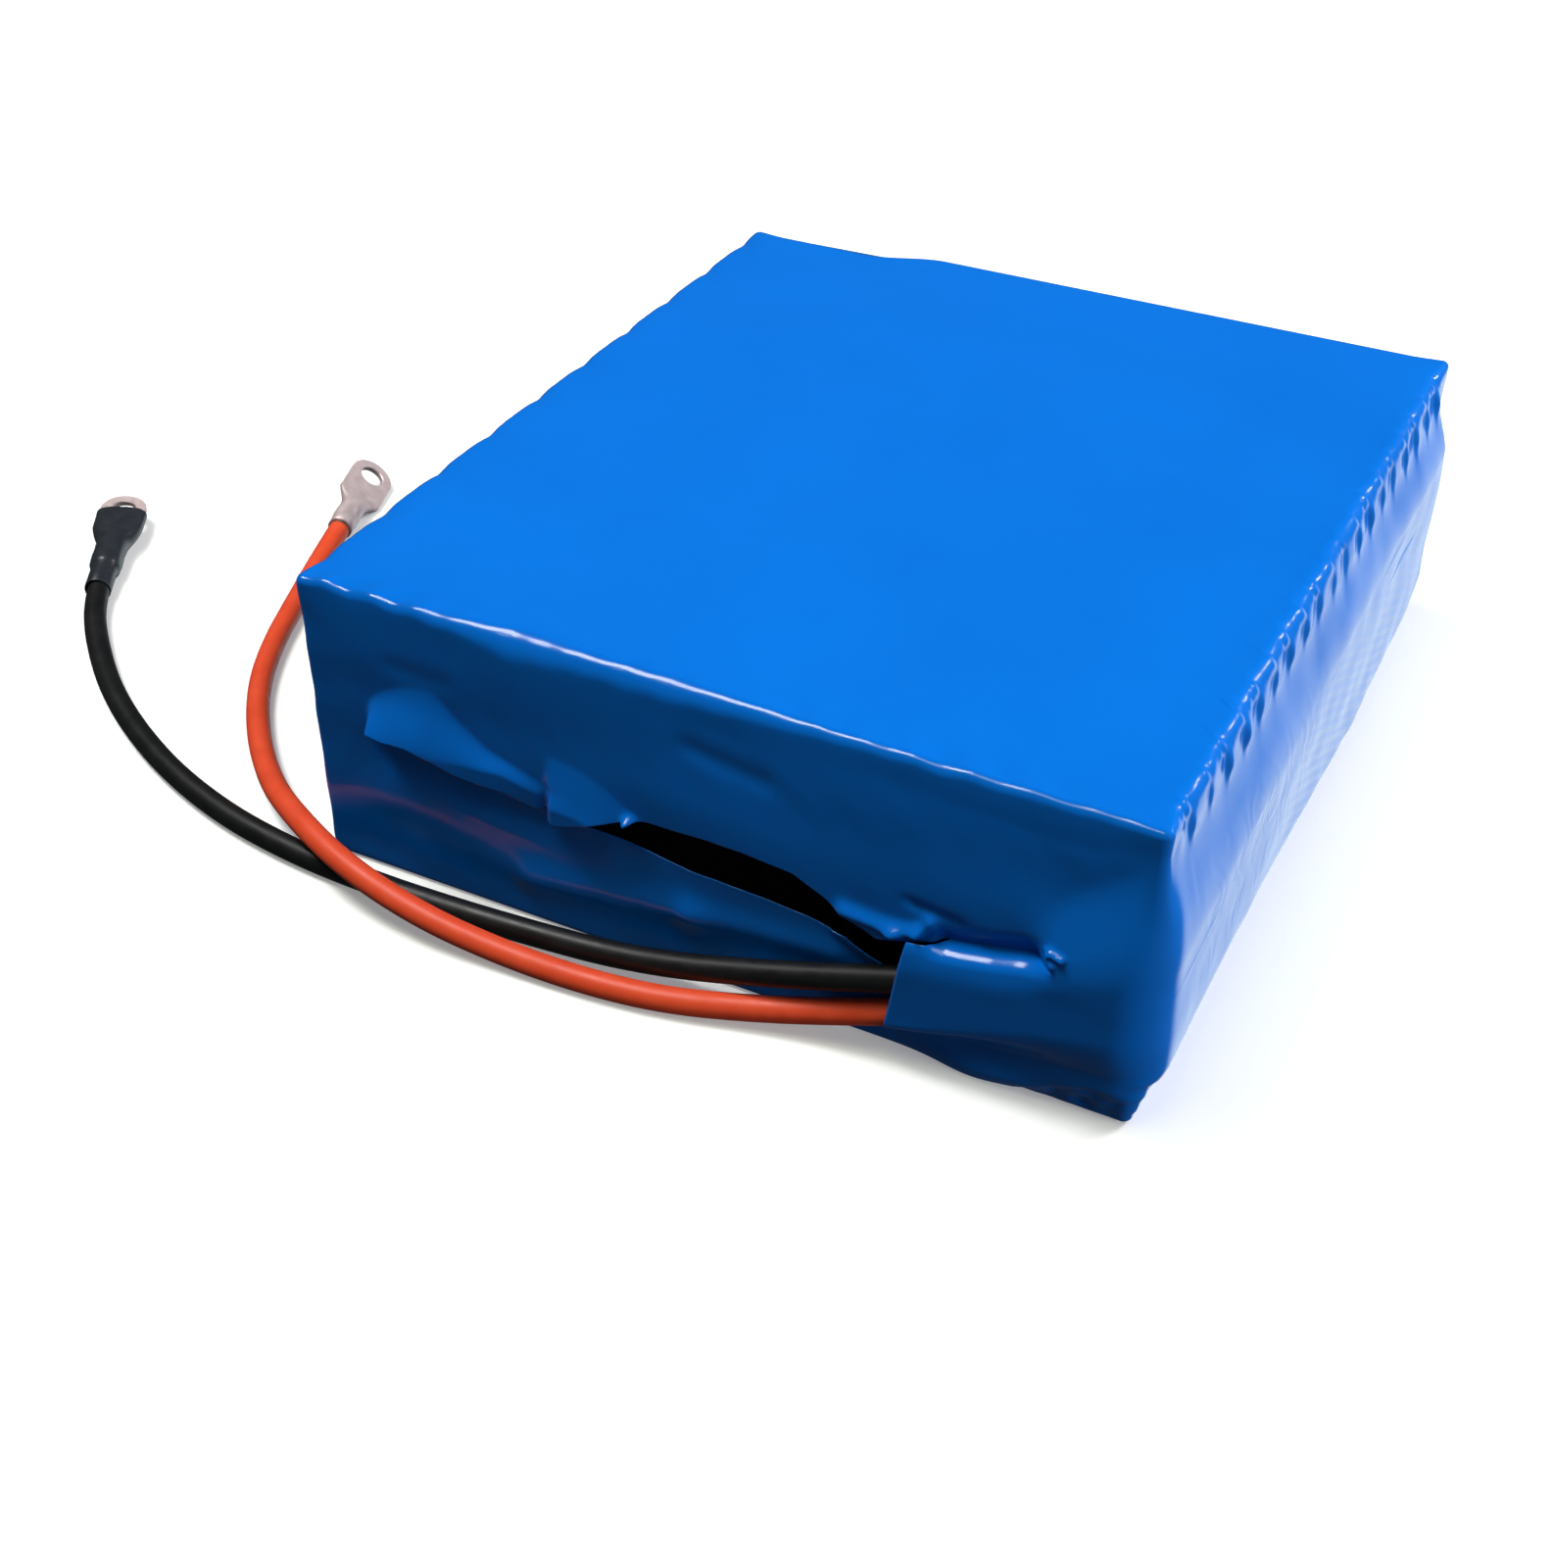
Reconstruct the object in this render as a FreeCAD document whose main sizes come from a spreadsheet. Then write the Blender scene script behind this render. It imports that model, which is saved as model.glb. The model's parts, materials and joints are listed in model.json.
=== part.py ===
"""Lithium-ion battery pack in blue shrink film, with two free output leads.

78 round cells (13 in series, 6 in parallel) stand upright in a 9 by 9 pair of cell holders, joined by
nickel plates. Boards cover both ends of the cells, a foam pad fills the front and the battery management
board stands at the back. Both leads run from that board along the right side, under the film, round the
front right corner, and leave through a sleeve of film on the front face. Each ends in a ring lug.

Millimetres. X runs along the front face, Y to the back, Z up. The origin is below the middle of the pack
on the surface that it stands on. That middle counts the film's raised channels, but not the free leads.
"""

import FreeCAD, Part
import math
import os
import Sketcher

Vector = FreeCAD.Vector

DIMENSIONS = {
    # outside
    "pack_width": 183.0,
    "pack_length": 207.0,
    "pack_height": 69.4,
    "film": 0.3,
    # cells and their holders
    "pitch": 20.2,
    "per_side": 9,
    "cell_diameter": 18.4,
    "cell_length": 65.2,
    "button_diameter": 9.0,
    "button_height": 0.7,
    "bore_diameter": 18.6,
    "holder_height": 9.0,
    "holder_start": 9.4,
    "notch_depth": 1.6,
    "notch_half_width": 3.0,
    # nickel plates and boards
    "nickel": 0.2,
    "plate_inset": 1.5,
    "plate_window": 8.0,
    "board": 1.6,
    "back_step": 5.4,
    "back_step_width": 53.0,
    "back_ramp": 20.0,
    # film channel over the leads
    "channel_stand": 6.0,
    "side_stand": 4.75,
    "mouth_place": 136.0,
    # battery management board, measured from the pack's left side, front and underside
    "bms_left": 55.5,
    "bms_width": 108.0,
    "bms_front": 195.6,
    "bms_low": 10.0,
    "bms_height": 52.0,
    "bms_board": 1.6,
    "chip_height": 4.5,
    "sink_thickness": 3.7,
    # leads and wires
    "lead_diameter": 5.5,
    "link_diameter": 4.0,
    "tap_diameter": 1.3,
    # ring lugs
    "barrel_diameter": 6.5,
    "barrel_length": 12.0,
    "neck_length": 6.0,
    "palm_width": 12.0,
    "palm_length": 10.0,
    "palm_thickness": 1.6,
    "stud_hole": 6.4,
}

GRID = int(DIMENSIONS["per_side"])
LEAD_CORNER_RADIUS = 8.0
SHARPEST_FREE_BEND = 5.0  # in lead diameters

# The free leads, from the mouth of the film sleeve to the lug: straight down to the surface that the pack
# stands on, along the front face and round its left side. The red lead crosses over the black one.
BLACK_ROUTE = [
    (42.8, -103.4, 20.5),
    (28.5, -104.1, 15.7),
    (12.3, -105.1, 11.0),
    (-3.9, -106.2, 6.9),
    (-20.8, -106.8, 4.0),
    (-38.2, -107.2, 2.75),
    (-55.8, -108.4, 2.75),
    (-75.4, -109.0, 2.75),
    (-98.0, -108.1, 2.75),
    (-122.0, -104.0, 2.75),
    (-147.4, -94.8, 2.75),
    (-174.0, -79.7, 2.75),
    (-195.1, -61.7, 2.75),
    (-206.8, -48.7, 3.3),
    (-214.0, -36.5, 4.1),
]
RED_ROUTE = [
    (41.5, -103.4, 11.6),
    (28.2, -104.5, 6.9),
    (13.2, -107.7, 3.9),
    (-3.6, -112.5, 2.9),
    (-20.6, -114.9, 2.75),
    (-39.4, -115.7, 3.2),
    (-59.9, -116.4, 6.2),
    (-82.0, -112.8, 9.4),
    (-103.7, -102.4, 9.4),
    (-119.0, -90.3, 4.6),
    (-133.0, -76.7, 2.75),
    (-145.2, -61.1, 2.75),
    (-154.0, -44.3, 2.75),
    (-160.7, -26.5, 2.75),
    (-167.0, -8.4, 3.4),
    (-172.2, 7.9, 3.9),
]
LUG_ROLL = {"black": 4.0, "red": 38.0}  # degrees about the lead

# Where each lead runs inside the film, from the board to the front right corner
SIDE_RUN = [(64.1, 99.8), (90.7, 99.8), (90.7, 55.0), (90.7, -3.0), (90.7, -59.0), (90.7, -103.2)]
BLACK_SIDE_HEIGHTS = [46.5, 46.5, 44.6, 41.0, 36.6, 32.6]
RED_SIDE_HEIGHTS = [39.5, 39.5, 37.6, 33.8, 28.8, 24.4]

# Series groups of six cells: first column, first row, columns, rows. Odd groups stand positive end up.
GROUPS = [
    (0, 6, 3, 2), (0, 4, 3, 2), (0, 2, 3, 2), (0, 0, 3, 2), (3, 0, 3, 2), (6, 0, 3, 2), (6, 2, 3, 2),
    (3, 2, 3, 2), (3, 4, 3, 2), (6, 4, 3, 2), (6, 6, 3, 2), (3, 6, 3, 2), (3, 8, 6, 1),
]
# Nickel plates: the first and last series group that each joins
TOP_PLATES = [(1, 2), (3, 4), (5, 6), (7, 8), (9, 10), (11, 12), (13, 13)]
BOTTOM_PLATES = [(1, 1), (2, 3), (4, 5), (6, 7), (8, 9), (10, 11), (12, 13)]
# Balance taps in order of potential: plate level, column boundary, row boundary where the wire is soldered
TAPS = [
    ("bottom", 1, 7), ("top", 1, 7), ("bottom", 2, 5), ("top", 2, 3), ("bottom", 3, 1), ("top", 6, 1),
    ("bottom", 7, 3), ("top", 7, 3), ("bottom", 4, 5), ("top", 4, 5), ("bottom", 8, 7), ("top", 8, 7),
    ("bottom", 5, 7), ("top", 5, 8.87),
]
TAP_BASE_HEIGHT = 20.0
TAP_SPACING = 2.0
TAP_BEND = 2.0

doc = FreeCAD.newDocument("battery_pack")
sheet = doc.addObject("Spreadsheet::Sheet", "Size")
for row, (alias, number) in enumerate(DIMENSIONS.items(), 1):
    sheet.set(f"A{row}", alias.replace("_", " "))
    sheet.set(f"B{row}", str(number))
    sheet.setAlias(f"B{row}", alias)
doc.recompute()

pieces = {}


def value(expression):
    """The number that an expression on the sheet comes to."""
    return float(sheet.evalExpression(str(expression)))


def keep(label, thing):
    """Names a sub-part, which is then written to its own file."""
    thing.Label = label
    pieces[label] = thing
    return thing


# Places are written from the pack's front left lower corner and carried to the origin here.
CORNER = ("-(Size.pack_width + Size.side_stand) / 2", "-(Size.pack_length - Size.channel_stand) / 2", "0")


def place(thing, at):
    """Binds a thing's place, given from the front left lower corner."""
    for axis, corner, offset in zip("xyz", CORNER, at):
        thing.setExpression(f"Placement.Base.{axis}", f"{corner} + {offset}")


def body_at(name, at=("0", "0", "0")):
    body = doc.addObject("PartDesign::Body", name)
    place(body, at)
    return body


def sketch_on(body, role="XY_Plane", offset="0"):
    """A sketch on one of the body's own origin planes, moved along its normal."""
    sketch = body.newObject("Sketcher::SketchObject", body.Name + "_sketch")
    planes = [f for f in body.Origin.OriginFeatures if f.Role == role]
    sketch.AttachmentSupport = [(planes[0], "")]
    sketch.MapMode = "FlatFace"
    sketch.setExpression("AttachmentOffset.Base.z", str(offset))
    return sketch


def bind_point(sketch, shape, point, across, along):
    """Ties a point of the sketch to the sketch's origin."""
    for kind, expression in (("DistanceX", across), ("DistanceY", along)):
        tie = Sketcher.Constraint(kind, -1, 1, shape, point, value(expression))
        sketch.setExpression(f"Constraints[{sketch.addConstraint(tie)}]", str(expression))


def draw_outline(sketch, corners):
    """A closed outline of straight sides through corners, given as pairs of expressions."""
    spots = [Vector(value(across), value(along), 0) for across, along in corners]
    sides = [
        sketch.addGeometry(Part.LineSegment(spots[i], spots[(i + 1) % len(spots)]), False)
        for i in range(len(spots))
    ]
    for i, side in enumerate(sides):
        following = sides[(i + 1) % len(sides)]
        sketch.addConstraint(Sketcher.Constraint("Coincident", side, 2, following, 1))
    for side, (across, along) in zip(sides, corners):
        bind_point(sketch, side, 1, across, along)


def draw_rectangle(sketch, left, low, right, high):
    draw_outline(sketch, [(left, low), (right, low), (right, high), (left, high)])


def draw_circle(sketch, across, along, radius):
    centre = Vector(value(across), value(along), 0)
    circle = sketch.addGeometry(Part.Circle(centre, Vector(0, 0, 1), value(radius)), False)
    tie = Sketcher.Constraint("Radius", circle, value(radius))
    sketch.setExpression(f"Constraints[{sketch.addConstraint(tie)}]", str(radius))
    bind_point(sketch, circle, 3, across, along)


def pad(body, sketch, length):
    feature = body.newObject("PartDesign::Pad", body.Name + "_pad")
    feature.Profile = sketch
    feature.setExpression("Length", str(length))
    return feature


def box(name, at, sides):
    block = doc.addObject("Part::Box", name)
    for side, expression in zip(("Length", "Width", "Height"), sides):
        block.setExpression(side, str(expression))
    place(block, at)
    return block


def rod(name, at, diameter, length, axis="Z"):
    """A cylinder from a point along X, Y or Z."""
    cylinder = doc.addObject("Part::Cylinder", name)
    cylinder.setExpression("Radius", f"({diameter}) / 2")
    cylinder.setExpression("Height", str(length))
    turns = {"X": (Vector(0, 1, 0), 90), "Y": (Vector(1, 0, 0), -90), "Z": (Vector(0, 0, 1), 0)}
    cylinder.Placement = FreeCAD.Placement(Vector(0, 0, 0), FreeCAD.Rotation(*turns[axis]))
    place(cylinder, at)
    return cylinder


def join(name, things):
    group = doc.addObject("Part::MultiFuse", name)
    group.Shapes = things
    return group


def gather(name, things):
    """Separate solids kept in one sub-part."""
    group = doc.addObject("Part::Compound", name)
    group.Links = things
    return group


def cut(name, base, tool):
    feature = doc.addObject("Part::Cut", name)
    feature.Base = base
    feature.Tool = tool
    return feature


# Tubes -----------------------------------------------------------------------------------------------------


def rounded_path(points, largest=math.inf):
    """Straight runs joined by tangent arcs, as one wire, with the arcs' radii."""
    spots = [Vector(*p) for p in points]
    edges, radii, start = [], [], spots[0]
    for before, corner, after in zip(spots, spots[1:], spots[2:]):
        back = (before - corner).normalize()
        onward = (after - corner).normalize()
        turn = math.pi - back.getAngle(onward)
        if turn < 1e-4:
            continue
        shorter = min(before.distanceToPoint(corner), after.distanceToPoint(corner))
        radius = min(0.45 * shorter / math.tan(turn / 2), largest)
        reach = radius * math.tan(turn / 2)
        first, last = corner + back * reach, corner + onward * reach
        bisector = (back + onward).normalize()
        middle = corner + bisector * (radius / math.cos(turn / 2) - radius)
        edges.append(Part.LineSegment(start, first).toShape())
        edges.append(Part.Arc(first, middle, last).toShape())
        radii.append(radius)
        start = last
    edges.append(Part.LineSegment(start, spots[-1]).toShape())
    return Part.Wire(edges), radii


def tube_shape(points, diameter, largest=math.inf):
    path, radii = rounded_path(points, largest)
    heading = Vector(*points[1]) - Vector(*points[0])
    ring = Part.Wire([Part.Circle(Vector(*points[0]), heading, diameter / 2).toShape()])
    shape = path.makePipeShell([ring], True, True)
    expected = math.pi * diameter**2 / 4 * path.Length
    if abs(shape.Volume / expected - 1) > 0.01:
        raise ValueError(f"a tube's volume is {shape.Volume:.1f}, not {expected:.1f}")
    return shape, path.Length, radii


def tube(label, points, diameter, largest=math.inf):
    """One cable or wire as a sub-part of its own."""
    shape, length, radii = tube_shape(points, diameter, largest)
    feature = doc.addObject("Part::Feature", label)
    feature.Shape = shape
    print(f"{label}: {length:.1f} mm long, tightest arc {min(radii):.1f} mm")
    return keep(label, feature), radii


# Cells, holders and nickel ---------------------------------------------------------------------------------

HOLDER_LEFT = "(Size.pack_width - Size.per_side * Size.pitch) / 2"
CELL_FOOT = "Size.film + Size.board + Size.nickel"
CELL_HEAD = f"{CELL_FOOT} + Size.cell_length"


def grid_corner(column, row, height):
    """The place of a cell boundary crossing, from the front left lower corner."""
    return (f"{HOLDER_LEFT} + {column} * Size.pitch", f"Size.holder_start + {row} * Size.pitch", height)


def cell_group(number, column, row, columns, rows):
    """Six cells in parallel, standing with their positive buttons up or down together."""
    body = body_at(f"cell_group_{number:02d}", grid_corner(column, row, CELL_FOOT))
    up = number % 2 == 1
    can = sketch_on(body, offset="0" if up else "Size.button_height")
    button = sketch_on(body, offset="Size.cell_length - Size.button_height" if up else "0")
    for c in range(columns):
        for r in range(rows):
            middle = (f"{c + 0.5} * Size.pitch", f"{r + 0.5} * Size.pitch")
            draw_circle(can, *middle, "Size.cell_diameter / 2")
            draw_circle(button, *middle, "Size.button_diameter / 2")
    pad(body, can, "Size.cell_length - Size.button_height")
    pad(body, button, "Size.button_height")
    keep(body.Name, body)


def holder(label, level, height):
    """A plate of 81 bores that spaces the cells, notched between them on its left and right sides."""
    body = body_at(label, grid_corner(0, 0, height))
    plate = sketch_on(body)
    side = "Size.per_side * Size.pitch"
    draw_rectangle(plate, "0", "0", side, side)
    for c in range(GRID):
        for r in range(GRID):
            draw_circle(plate, f"{c + 0.5} * Size.pitch", f"{r + 0.5} * Size.pitch", "Size.bore_diameter / 2")
    for plate_level, column, line in TAPS:
        if plate_level == level:
            across, along = f"{column} * Size.pitch", f"{line} * Size.pitch"
            draw_circle(plate, across, along, "Size.tap_diameter / 2 + 0.3")
    pad(body, plate, "Size.holder_height")

    notches = sketch_on(body)
    low, high = "Size.pitch - Size.notch_half_width", "Size.pitch + Size.notch_half_width"
    draw_outline(notches, [("0", low), ("Size.notch_depth", "Size.pitch"), ("0", high)])
    draw_outline(notches, [(side, low), (side, high), (f"{side} - Size.notch_depth", "Size.pitch")])
    doc.recompute()
    before = body.Shape.Volume
    pocket = body.newObject("PartDesign::Pocket", label + "_notches")
    pocket.Profile = notches
    pocket.Reversed = True
    pocket.setExpression("Length", "Size.holder_height")
    rows_of_notches = body.newObject("PartDesign::LinearPattern", label + "_notch_row")
    rows_of_notches.Originals = [pocket]
    rows_of_notches.Direction = (notches, ["V_Axis"])
    rows_of_notches.setExpression("Length", "(Size.per_side - 2) * Size.pitch")
    rows_of_notches.Occurrences = GRID - 1
    body.Tip = rows_of_notches
    doc.recompute()
    if body.Shape.Volume >= before:
        raise ValueError(f"the notches of {label} cut nothing")
    keep(label, body)


def group_cells(number):
    column, row, columns, rows = GROUPS[number - 1]
    return {(column + c, row + r) for c in range(columns) for r in range(rows)}


def plate_corners(first, last):
    """The plate's corners as (column, row, inward x, inward y), round the cells of one or two groups."""
    cells = group_cells(first) | group_cells(last)
    left, right = min(c for c, r in cells), max(c for c, r in cells) + 1
    low, high = min(r for c, r in cells), max(r for c, r in cells) + 1
    if len(cells) == (right - left) * (high - low):
        return [(left, low, 1, 1), (right, low, -1, 1), (right, high, -1, -1), (left, high, 1, -1)]
    step, shelf = 6, 8
    return [
        (left, low, 1, 1), (step, low, -1, 1), (step, shelf, -1, 1),
        (right, shelf, -1, 1), (right, high, -1, -1), (left, high, 1, -1),
    ]


def nickel_plate(level, index, first, last):
    """One spot-welded plate over one or two series groups, with windows between the cells."""
    label = f"{level}_nickel_plate_{index}"
    height = CELL_HEAD if level == "top" else "Size.film + Size.board"
    body = body_at(label, grid_corner(0, 0, height))
    sketch = sketch_on(body)
    draw_outline(
        sketch,
        [
            (f"{c} * Size.pitch + {x} * Size.plate_inset", f"{r} * Size.pitch + {y} * Size.plate_inset")
            for c, r, x, y in plate_corners(first, last)
        ],
    )
    cells = group_cells(first) | group_cells(last)
    soldered = {(column, line) for plate_level, column, line in TAPS if plate_level == level}
    for c in range(1, GRID):
        for r in range(1, GRID):
            around = {(c - 1, r - 1), (c, r - 1), (c - 1, r), (c, r)}
            if around <= cells and (c, r) not in soldered:
                sides = [
                    f"{line} * Size.pitch {sign} Size.plate_window / 2"
                    for sign in "-+"
                    for line in (c, r)
                ]
                draw_rectangle(sketch, *sides)
    pad(body, sketch, "Size.nickel")
    keep(label, body)


# Boards, foam and film -------------------------------------------------------------------------------------


def plan_corners(gap):
    """The pack's outline in plan, drawn in by gap. The back is set in on its left, where no board stands."""
    right, back = f"Size.pack_width - {gap}", f"Size.pack_length - {gap}"
    stepped = f"{back} - Size.back_step"
    return [
        (gap, gap),
        (right, gap),
        (right, back),
        ("Size.back_step_width", back),
        ("Size.back_step_width - Size.back_ramp", stepped),
        (gap, stepped),
    ]


def insulation_board(label, height):
    body = body_at(label, ("0", "0", height))
    sketch = sketch_on(body)
    draw_outline(sketch, plan_corners("(Size.film + 0.3)"))
    pad(body, sketch, "Size.board")
    keep(label, body)


def film_block(name, gap):
    """The film's outer or inner boundary: the pack, with the raised channels over the leads."""
    body = body_at(name)
    plan = sketch_on(body, offset=gap)
    draw_outline(plan, plan_corners(gap))
    pad(body, plan, f"Size.pack_height - 2 * {gap}")

    stand, side = f"-(Size.channel_stand - {gap})", f"Size.side_stand - {gap}"
    mouth = "Size.mouth_place" if gap == "0" else "Size.mouth_place - 2"
    front = sketch_on(body, "YZ_Plane", mouth)
    low_edge = [("1", f"2.5 + {gap}"), (stand, f"8 + {gap}")]
    draw_outline(front, low_edge + [(stand, f"38 - {gap}"), ("1", f"45 - {gap}")])
    pad(body, front, f"Size.pack_width + {side} - {mouth}")

    right = sketch_on(body, "XZ_Plane", f"Size.channel_stand - {gap}")
    across = f"Size.pack_width + {side}"
    inside = "Size.pack_width - 1"
    low_edge = [(inside, f"12 + {gap}"), (across, f"19 + {gap}")]
    draw_outline(right, low_edge + [(across, f"53 - {gap}"), (inside, f"60 - {gap}")])
    run = pad(body, right, f"Size.channel_stand + Size.pack_length - 3.5 - 2 * {gap}")
    run.Reversed = True
    return body


def shrink_wrap():
    """The film: a thin skin with a lens-shaped gap between its front flaps, and the sleeve's open mouth."""
    gap = body_at("front_gap")
    lens = sketch_on(gap, "XZ_Plane", "-1")
    edge = [
        (66, 30.5), (79, 35.0), (92, 35.4), (106, 33.0), (120, 29.6), (131, 24.5),
        (125, 24.4), (116, 25.0), (101, 26.6), (88, 27.8), (75, 28.9),
    ]
    draw_outline(lens, [(str(across), str(up)) for across, up in edge])
    pad(gap, lens, "2")
    skin = cut("film_skin", film_block("film_outside", "0"), film_block("film_inside", "Size.film"))
    keep("shrink_wrap", cut("shrink_wrap", skin, gap))


def foam():
    """Foam that fills the front, short of the corner that the leads go round, and the back's left part."""
    floor = "Size.film + Size.board"
    height = "Size.pack_height - 2 * (Size.film + Size.board)"
    front = ("Size.film + 0.3", "2", floor)
    keep("front_foam_pad", box("front_foam_pad", front, ("171", "Size.holder_start - 2.2", height)))
    holder_end = "Size.holder_start + Size.per_side * Size.pitch"
    back = ("Size.film + 0.3", f"{holder_end} + 0.2", floor)
    depth = f"Size.pack_length - Size.back_step - Size.film - 0.4 - ({holder_end})"
    keep("back_foam_pad", box("back_foam_pad", back, ("17", depth, height)))


# Battery management board ----------------------------------------------------------------------------------

BMS_BACK = "Size.bms_front + Size.bms_board"
CHIP_BACK = f"{BMS_BACK} + Size.chip_height"
SCREW_PLACES = [("Size.bms_left + 5", "56"), ("Size.bms_left + Size.bms_width - 12", "56")]


def screw_holes(name):
    return [
        rod(f"{name}_{i}", (across, "Size.bms_front - 3", up), "3.2", "20", "Y")
        for i, (across, up) in enumerate(SCREW_PLACES)
    ]


def management_board():
    """The circuit board, its power transistors, heat sink, shunts, chips, header and plug."""
    board = box(
        "bms_blank",
        ("Size.bms_left", "Size.bms_front", "Size.bms_low"),
        ("Size.bms_width", "Size.bms_board", "Size.bms_height"),
    )
    keep("bms_circuit_board", cut("bms_circuit_board", board, gather("bms_holes", screw_holes("bms_hole"))))

    chip_sides = ("8.6", "Size.chip_height", "15")
    chips = [
        box(f"mosfet_{i}", (f"Size.bms_left + {14 + 9.6 * i}", BMS_BACK, "30"), chip_sides) for i in range(8)
    ]
    keep("bms_mosfets", gather("bms_mosfets", chips))
    pad_sides = ("76", "0.5", "15")
    keep("thermal_pad", box("thermal_pad", ("Size.bms_left + 14", CHIP_BACK, "30"), pad_sides))

    sink_front = f"{CHIP_BACK} + 0.5"
    slab_sides = ("Size.bms_width - 7", "Size.sink_thickness", "34")
    slab = box("sink_blank", ("Size.bms_left", sink_front, "26"), slab_sides)
    groove_floor = f"{sink_front} + 1.5"
    grooves = [
        box(f"sink_groove_{i}", (f"Size.bms_left + {9 + 5.2 * i}", groove_floor, "25"), ("3", "5", "26"))
        for i in range(16)
    ]
    tool = gather("sink_tools", grooves + screw_holes("sink_hole"))
    keep("heat_sink", cut("heat_sink", slab, tool))

    screws = []
    for i, (across, up) in enumerate(SCREW_PLACES):
        head = rod(f"screw_head_{i}", (across, "Size.bms_front - 1.8", up), "5.5", "1.8", "Y")
        shank = rod(f"screw_shank_{i}", (across, "Size.bms_front", up), "3", "10", "Y")
        screws.append(join(f"heat_sink_screw_{i}", [head, shank]))
    keep("heat_sink_screws", gather("heat_sink_screws", screws))

    shunts = [
        box(f"shunt_{i}", (f"Size.bms_left + {64 + 8 * i}", BMS_BACK, "16"), ("6.4", "1.5", "3.2"))
        for i in range(4)
    ]
    keep("current_shunts", gather("current_shunts", shunts))
    monitor = [
        box(f"monitor_chip_{i}", (f"Size.bms_left + {18 + 14 * i}", BMS_BACK, "15"), ("9", "1.6", "7"))
        for i in range(3)
    ]
    keep("monitor_chips", gather("monitor_chips", monitor))

    plug_low = TAP_BASE_HEIGHT - 2
    span = TAP_SPACING * (len(TAPS) - 1) + 4
    header_left = "Size.bms_left + 0.5"
    header = box("header", (header_left, BMS_BACK, str(plug_low)), ("7", "4.8", str(span)))
    keep("balance_header", header)
    plug = box("plug", ("Size.bms_left - 5.5", BMS_BACK, str(plug_low)), ("6", "4.8", str(span)))
    keep("balance_plug", plug)
    paper = box("paper", ("Size.bms_left", "Size.bms_front - 0.4", "18"), ("Size.bms_width", "0.3", "34"))
    keep("bms_insulation_paper", paper)


# Wires, links and leads ------------------------------------------------------------------------------------


def from_corner(across, along, up):
    """A point given from the front left lower corner, in the pack's frame."""
    return (across + value(CORNER[0]), along + value(CORNER[1]), up)


def tap_wires():
    """Fourteen balance wires, each from its nickel plate, between the cells, to its place in the plug."""
    back_lane = value("Size.bms_front") - 3.2
    plug_left = value("Size.bms_left") - 5.5
    plug_lane = value(BMS_BACK) + 2.4
    wires = []
    for number, (level, column, line) in enumerate(TAPS):
        across = value(HOLDER_LEFT) + column * value("Size.pitch")
        along = value("Size.holder_start") + line * value("Size.pitch")
        end = value(CELL_HEAD) if level == "top" else value(CELL_FOOT)
        up = TAP_BASE_HEIGHT + TAP_SPACING * number
        route = [
            (across, along, end), (across, along, up), (across, back_lane, up),
            (plug_left - 5, back_lane, up), (plug_left - 5, plug_lane, up), (plug_left, plug_lane, up),
        ]
        points = [from_corner(*p) for p in route]
        wires.append(tube_shape(points, value("Size.tap_diameter"), TAP_BEND)[0])
    feature = doc.addObject("Part::Feature", "balance_wires")
    feature.Shape = Part.makeCompound(wires)
    keep("balance_wires", feature)


def power_links():
    """The negative link cable, the folded positive strip, and the temperature probe."""
    lane = value("Size.bms_front") - value("Size.link_diameter") / 2 - 0.5
    vacant = value(HOLDER_LEFT) + 1.5 * value("Size.pitch")
    rise = value("Size.holder_start") + 8.5 * value("Size.pitch")
    foot = value(CELL_FOOT)
    route = [(vacant, rise, foot), (vacant, rise, 14.0), (vacant, lane, 14.0), (80.0, lane, 14.0)]
    tube("negative_link_cable", [from_corner(*p) for p in route], value("Size.link_diameter"), 5.0)
    tab_corner = (f"{vacant} - 6", f"{rise} - 11.6", "Size.film + Size.board")
    keep("negative_tab", box("negative_tab", tab_corner, ("12", "17", "Size.nickel")))

    strip = body_at("positive_link_strip", ("130", "0", "0"))
    fold = sketch_on(strip, "YZ_Plane")
    inner = "Size.holder_start + Size.per_side * Size.pitch - Size.plate_inset"
    outer = "Size.bms_front - 0.5"
    top, under = f"{CELL_HEAD} + Size.nickel", CELL_HEAD
    foot_top, foot_under = "57.2", "57"
    draw_outline(
        fold,
        [
            (inner, under), (f"{outer} - 2.2", under), (f"{outer} - 2.2", foot_under),
            ("Size.bms_front", foot_under), ("Size.bms_front", foot_top), (f"{outer} - 2", foot_top),
            (f"{outer} - 2", top), (inner, top),
        ],
    )
    pad(strip, fold, "12")
    keep("positive_link_strip", strip)

    corridor = value(HOLDER_LEFT) + 3 * value("Size.pitch")
    back_lane = value("Size.bms_front") - 3.2
    probe_route = [(corridor, 112.0, 52.0), (corridor, back_lane, 52.0), (corridor + 12, back_lane, 52.0)]
    wire = doc.addObject("Part::Feature", "thermistor_wire")
    wire.Shape = tube_shape([from_corner(*p) for p in probe_route], 1.2, TAP_BEND)[0]
    bead = rod("thermistor_bead", (str(corridor), "106", "52"), "1.7", "6", "Y")
    keep("thermistor", join("thermistor", [wire, bead]))


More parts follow.
